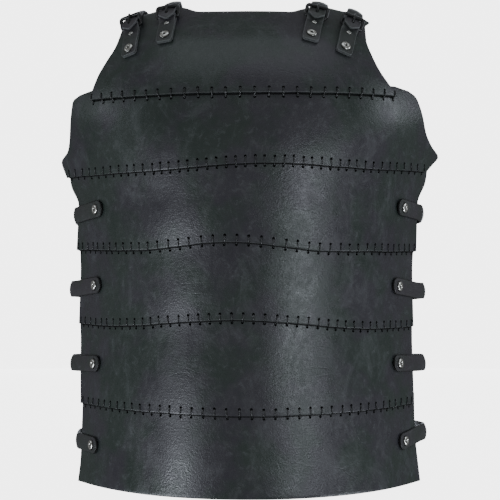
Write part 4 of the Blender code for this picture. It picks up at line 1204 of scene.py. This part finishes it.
def make_tab(row):
    """A tab: one strip from its foot up the plate, round the bar and back down over itself."""
    bar, _, along, _, out = buckle_places(row)
    shares = (1.0, 0.84, 0.68, 0.52, 0.36, 0.24, 0.12, 0.05)
    stations = [down_front(row, TAB_LENGTH * share)[2:] for share in shares]
    for turn in FOLD_TURNS:
        way = along * math.cos(turn) + out * math.sin(turn)
        stations.append((bar + way * FOLD_RADIUS, -way))
    closing = [(share, FOLD_CLOSE * share) for share in (0.4, 0.75, 1.0)]
    flat = [(1.0, down) for down in np.linspace(FOLD_CLOSE, TAB_LENGTH, 8)[1:]]
    for share, down in closing + flat:
        place, normal = down_front(row, down)[2:]
        closed = share * share * (3 - 2 * share)
        rise = FOLD_HEIGHT + (TAB_LEATHER - FOLD_HEIGHT) * closed
        stations.append((place + normal * rise, -normal))
    route = route_along(stations, 0.001)
    reach = STRAP_WIDTH / 2 - TAB_CORNER
    outline = arc((TAB_CORNER, reach), TAB_CORNER, 90, 90, CORNER_STEPS)
    outline += arc((TAB_CORNER, -reach), TAB_CORNER, 180, 90, CORNER_STEPS)
    outline += square_end(route[2][-1], TAB_CORNER)
    piece = cut_leather(
        f"{row[0]}_folded_tab", outline, TAB_PLY, TAB_ROUNDING, (STRAP_HIDE, HIGHLIT_TAB_EDGE),
    )
    fold_end = TAB_LENGTH + math.pi * FOLD_RADIUS
    cut_slot(piece, TAB_LENGTH - SLOT_PAST_FOLD, fold_end + SLOT_PAST_FOLD)
    bend_along(piece, route)
    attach(piece, "root")
    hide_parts(f"{row[0]}_tab")


def make_buckle(row):
    """A buckle's welded frame and its prong."""
    bar, far, along, across, out = buckle_places(row)
    lying = along * math.cos(BUCKLE_RISE) + out * math.sin(BUCKLE_RISE)
    reach = STRAP_WIDTH / 2 + BUCKLE_PLAY + BUCKLE_WIRE - BUCKLE_CORNER
    stops = []
    for k, (side, is_far) in enumerate(((-1, 0), (1, 0), (1, 1), (-1, 1))):
        height = BUCKLE_LENGTH - BUCKLE_CORNER if is_far else BUCKLE_CORNER
        radius = FAR_WIRE if is_far else BUCKLE_WIRE
        for x, y in arc((side * reach, height), BUCKLE_CORNER, 90 * k - 180, 90, 6):
            stops.append(np.array((*(bar + across * x + lying * y), radius)))
    wire = []
    for stop, after in zip(stops, stops[1:] + stops[:1]):
        steps = max(1, int(np.linalg.norm((after - stop)[:3]) / WIRE_STEP))
        wire += [stop * (1 - k / steps) + after * (k / steps) for k in range(steps)]
    wire = np.array(wire)
    work = bmesh.new()
    add_wire(work, wire[:, :3], wire[:, 3], WIRE_SIDES, out, True)
    # The prong, from the fixed bar up through the strap and down on the far bar
    bends = np.array(
        [bar + along * x + out * y for x, y in PRONG_RISE]
        + [far + along * x + out * y for x, y in PRONG_FALL]
    )
    run = run_along(bends)
    prong = even_steps(np.column_stack((run, bends)), int(run[-1] / PRONG_STEP))
    share = np.linspace(0, 1, len(prong))
    thick = PRONG_RADIUS * (PRONG_ENDS[0] * (1 - share) + PRONG_ENDS[1] * share)
    start, end = PRONG_TIP
    thick *= np.sqrt(np.clip((end - share) / (end - start), 0, 1))
    add_wire(work, prong, thick, PRONG_SIDES, across)
    eye = [bar + (along * math.cos(t) + out * math.sin(t)) * EYE_REACH for t in EYE_TURNS]
    add_wire(work, eye, [EYE_RADIUS] * len(eye), EYE_SIDES, across)
    bmesh.ops.recalc_face_normals(work, faces=work.faces)
    piece = worked_piece(f"{row[0]}_wire_buckle", work, (BLACK_STEEL,))
    shade_round(piece)
    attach(piece, "root")
    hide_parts(f"{row[0]}_buckle")


for row in SHOULDERS:
    make_tab(row)
    make_buckle(row)
LOWER_RIVET = TAB_LENGTH - TAB_FOOT
for kind, cap, distance in (
    ("tab", domed_cap, LOWER_RIVET), ("tab_upper", small_cap, LOWER_RIVET - TAB_RIVET_PITCH),
):
    marks = []
    for row in SHOULDERS:
        x, z, place, normal = down_front(row, distance)
        marks.append((place + normal * TAB_LEATHER, normal, hollow_under(front, x, z)))
    set_rivets(f"{kind}_rivets", marks, cap, [f"{row[0]}_{kind}_rivet" for row in SHOULDERS])

# Shoulder straps. Each comes up from the backplate, where one rivet holds it, over the shoulder and
# through its buckle, and ends in a point over the tab. They are cut like the side straps.
TIP_OVERHANG = 0.0075   # fixed bar to the point of the shoulder strap
TOUCHDOWN = 0.0085      # far bar to where the strap lies on the plate again
SHOULDER_LAP = 0.034    # how far a shoulder strap runs down the backplate
SHOULDER_RIVET = 0.012  # its end to its rivet
BACK_PITCH = 0.8        # height per length of strap there
POINT_LIFT = 0.0011     # the point stands off the tab
STRAP_CORNER = 0.0021   # rounded corners at the square end
SINK_PLACE = 0.40       # where the strap lies lowest in the buckle, and how high on the fold
SINK_HEIGHT = 0.85
SLOT_START = 0.0002     # from the fixed bar to the prong's slot in the strap
SLOT_END = 0.0062
STRAP_PULLS = (0.012, 0.034)  # how stiffly a strap leaves the breastplate and the backplate
RIM_STEP = 0.0005       # the plate's rim behind the buckle is looked for in steps
# Half of the point's outline, from the full width to the middle
STRAP_POINT = ((0.0058, STRAP_WIDTH / 2), (0.0008, 0.0024), (0.0002, 0.00144), (0.0, 0.0))


def shoulder_strap(row):
    """A strap from its point in the buckle to its end on the backplate, and its rivet's place."""
    bar, far, along, across, out = buckle_places(row)
    over_fold = FOLD_RADIUS + SEAT
    place, normal = down_front(row, TIP_OVERHANG)[2:]
    fronts = [
        (place + normal * (TAB_LEATHER + 2 * SEAT + POINT_LIFT), normal),
        (bar - along * BUCKLE_WIRE + out * over_fold, out),
        (bar + along * FAR_RUN * SINK_PLACE + out * over_fold * SINK_HEIGHT, out),
        (far - out * (FAR_WIRE + STRAP_LEATHER + SEAT), out),
    ]
    rim = -FAR_RUN
    x, z = down_front(row, rim)[:2]
    while z < front.ends(0, x)[0]:
        rim -= RIM_STEP
        x, z = down_front(row, rim)[:2]
    for share in (0.0, 0.5, 1.0):
        fronts.append(down_front(row, rim * share - (FAR_RUN + TOUCHDOWN) * (1 - share))[2:])
    x = row[4] * WIDTH / 2
    top = back.ends(0, x)[0]

    def on_back(run):
        """Z, place and normal on the backplate at a length below its top edge."""
        z = top - run * BACK_PITCH
        return z, *rest(back, x, z, STRAP_WIDTH / 2, np.array((0, 0, 1.0)))

    backs = [on_back(run * SHOULDER_LAP)[1:] for run in (0.0, 0.25, 0.5, 0.75, 1.0)]
    route = route_along([*fronts, *free_bend(fronts, backs, STRAP_PULLS), *backs])
    outline = [*STRAP_POINT, *((u, -v) for u, v in STRAP_POINT[-2::-1])]
    outline += square_end(route[2][-1], STRAP_CORNER)
    piece = cut_leather(
        f"{row[0]}_shoulder_belt", outline, STRAP_LEATHER, STRAP_ROUNDING,
        (STRAP_HIDE, HIGHLIT_TAB_EDGE), STRAP_SWELL,
    )
    at_bar = float(np.linalg.norm(fronts[1][0] - fronts[0][0]))
    cut_slot(piece, at_bar + SLOT_START, at_bar + SLOT_END)
    bend_along(piece, route, CURL)
    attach(piece, "root")
    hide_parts(f"{row[0]}_shoulder_strap")
    z, place, normal = on_back(SHOULDER_LAP - SHOULDER_RIVET)
    return place + normal * CAP_ON_STRAP, normal, hollow_under(back, x, z)


shoulder_rivets = [shoulder_strap(row) for row in SHOULDERS]
nodes = [f"{row[0]}_shoulder_rivet" for row in SHOULDERS]
set_rivets("shoulder_rivets", shoulder_rivets, domed_cap, nodes)
for form in (domed_cap, small_cap, flat_cap):
    bpy.data.objects.remove(form)

# The pale floor, the soft lights and the camera, at the photo's angle. The photo's background is
# white, and its surroundings are dark: the leather's gloss shows the softboxes alone. So floor and
# sky are bright to the eye and not seen by reflections, and hem lights shine through the floor.
FLOOR_HALF = 20.0
FLOOR_SHADE = 0.15      # how far the floor darkens in the object's shadow
SKY_SEEN = 4.5
SKY_LIGHT = 1.2
SKY_REFLECTED = 0.15
WHITE = (1.0, 1.0, 1.0, 1.0)
COOL_DAYLIGHT = "#eef5ff"
# Azimuth from the camera, distance, height, height aimed at, width and height in metres, watts
SOFTBOXES = {
    "left_softbox": (-51, 1.9, -0.34, 0.05, 0.40, 0.20, 12.5),
    "left_hem_softbox": (-76, 1.9, -0.90, 0.00, 0.40, 0.20, 16.0),
    "right_softbox": (38, 1.9, 0.20, 0.18, 0.95, 0.36, 8.5),
    "right_hem_softbox": (74, 1.9, -0.90, 0.00, 0.60, 0.20, 20.0),
    "left_chest_softbox": (-88, 1.8, 1.00, 0.38, 0.50, 0.50, 2.0),
    "right_chest_softbox": (90, 1.8, 1.00, 0.38, 0.70, 0.60, 5.5),
    "overhead_softbox": (0, 0.5, 2.20, 0.45, 2.40, 1.20, 7.5),
    "back_softbox": (180, 1.7, 1.30, 0.25, 1.80, 0.90, 6.0),
    "back_left_softbox": (163, 1.9, 0.20, 0.18, 0.50, 0.40, 3.5),
    "back_right_softbox": (-163, 1.9, 0.20, 0.18, 0.50, 0.40, 3.5),
}
CAMERA_PLACE = (0.0012, -1.9295, 0.2625)
CAMERA_LENS = 122.7
SENSOR_WIDTH = 36.0

floor_white, _, _ = new_material("matt_white_floor", {
    "Base Color": (FLOOR_SHADE, FLOOR_SHADE, FLOOR_SHADE, 1.0), "Roughness": 1.0,
    "Specular IOR Level": 0.0, "Emission Color": WHITE,
    "Emission Strength": SKY_SEEN - SKY_LIGHT * FLOOR_SHADE,
})
corners = [(x * FLOOR_HALF, y * FLOOR_HALF, 0.0) for x, y in ((-1, -1), (1, -1), (1, 1), (-1, 1))]
floor = new_piece("floor", corners, [(0, 1, 2, 3)], (floor_white,))
floor.visible_glossy = floor.visible_diffuse = floor.visible_shadow = False

world = bpy.data.worlds.new("studio")
bpy.context.scene.world = world
world.use_nodes = True
tree = world.node_tree
ray = add_node(tree, "ShaderNodeLightPath").outputs
light = add_node(tree, "ShaderNodeMath", {
    0: ray["Is Camera Ray"], 1: SKY_SEEN - SKY_LIGHT, 2: SKY_LIGHT,
}, operation="MULTIPLY_ADD")
sky = add_node(tree, "ShaderNodeMath", {
    0: ray["Is Glossy Ray"], 1: SKY_REFLECTED - SKY_LIGHT, 2: light,
}, operation="MULTIPLY_ADD")
set_inputs(tree, tree.nodes["Background"], {"Color": WHITE, "Strength": sky})


def set_up(name, data, place, turn):
    made = bpy.data.objects.new(name, data)
    made.location, made.rotation_euler = place, turn
    bpy.context.scene.collection.objects.link(made)
    return made


for name, (azimuth, distance, height, aim, wide, tall, power) in SOFTBOXES.items():
    turn = math.radians(azimuth)
    place = Vector((math.sin(turn) * distance, -math.cos(turn) * distance, height))
    lamp = bpy.data.lights.new(name, "AREA")
    lamp.shape, lamp.size, lamp.size_y, lamp.energy = "RECTANGLE", wide, tall, power
    lamp.color = srgb(COOL_DAYLIGHT)[:3]
    set_up(name, lamp, place, (Vector((0, 0, aim)) - place).to_track_quat("-Z", "Y").to_euler())

lens = bpy.data.cameras.new("camera")
lens.lens, lens.sensor_width = CAMERA_LENS, SENSOR_WIDTH
bpy.context.scene.camera = set_up("camera", lens, CAMERA_PLACE, (math.pi / 2, 0, 0))
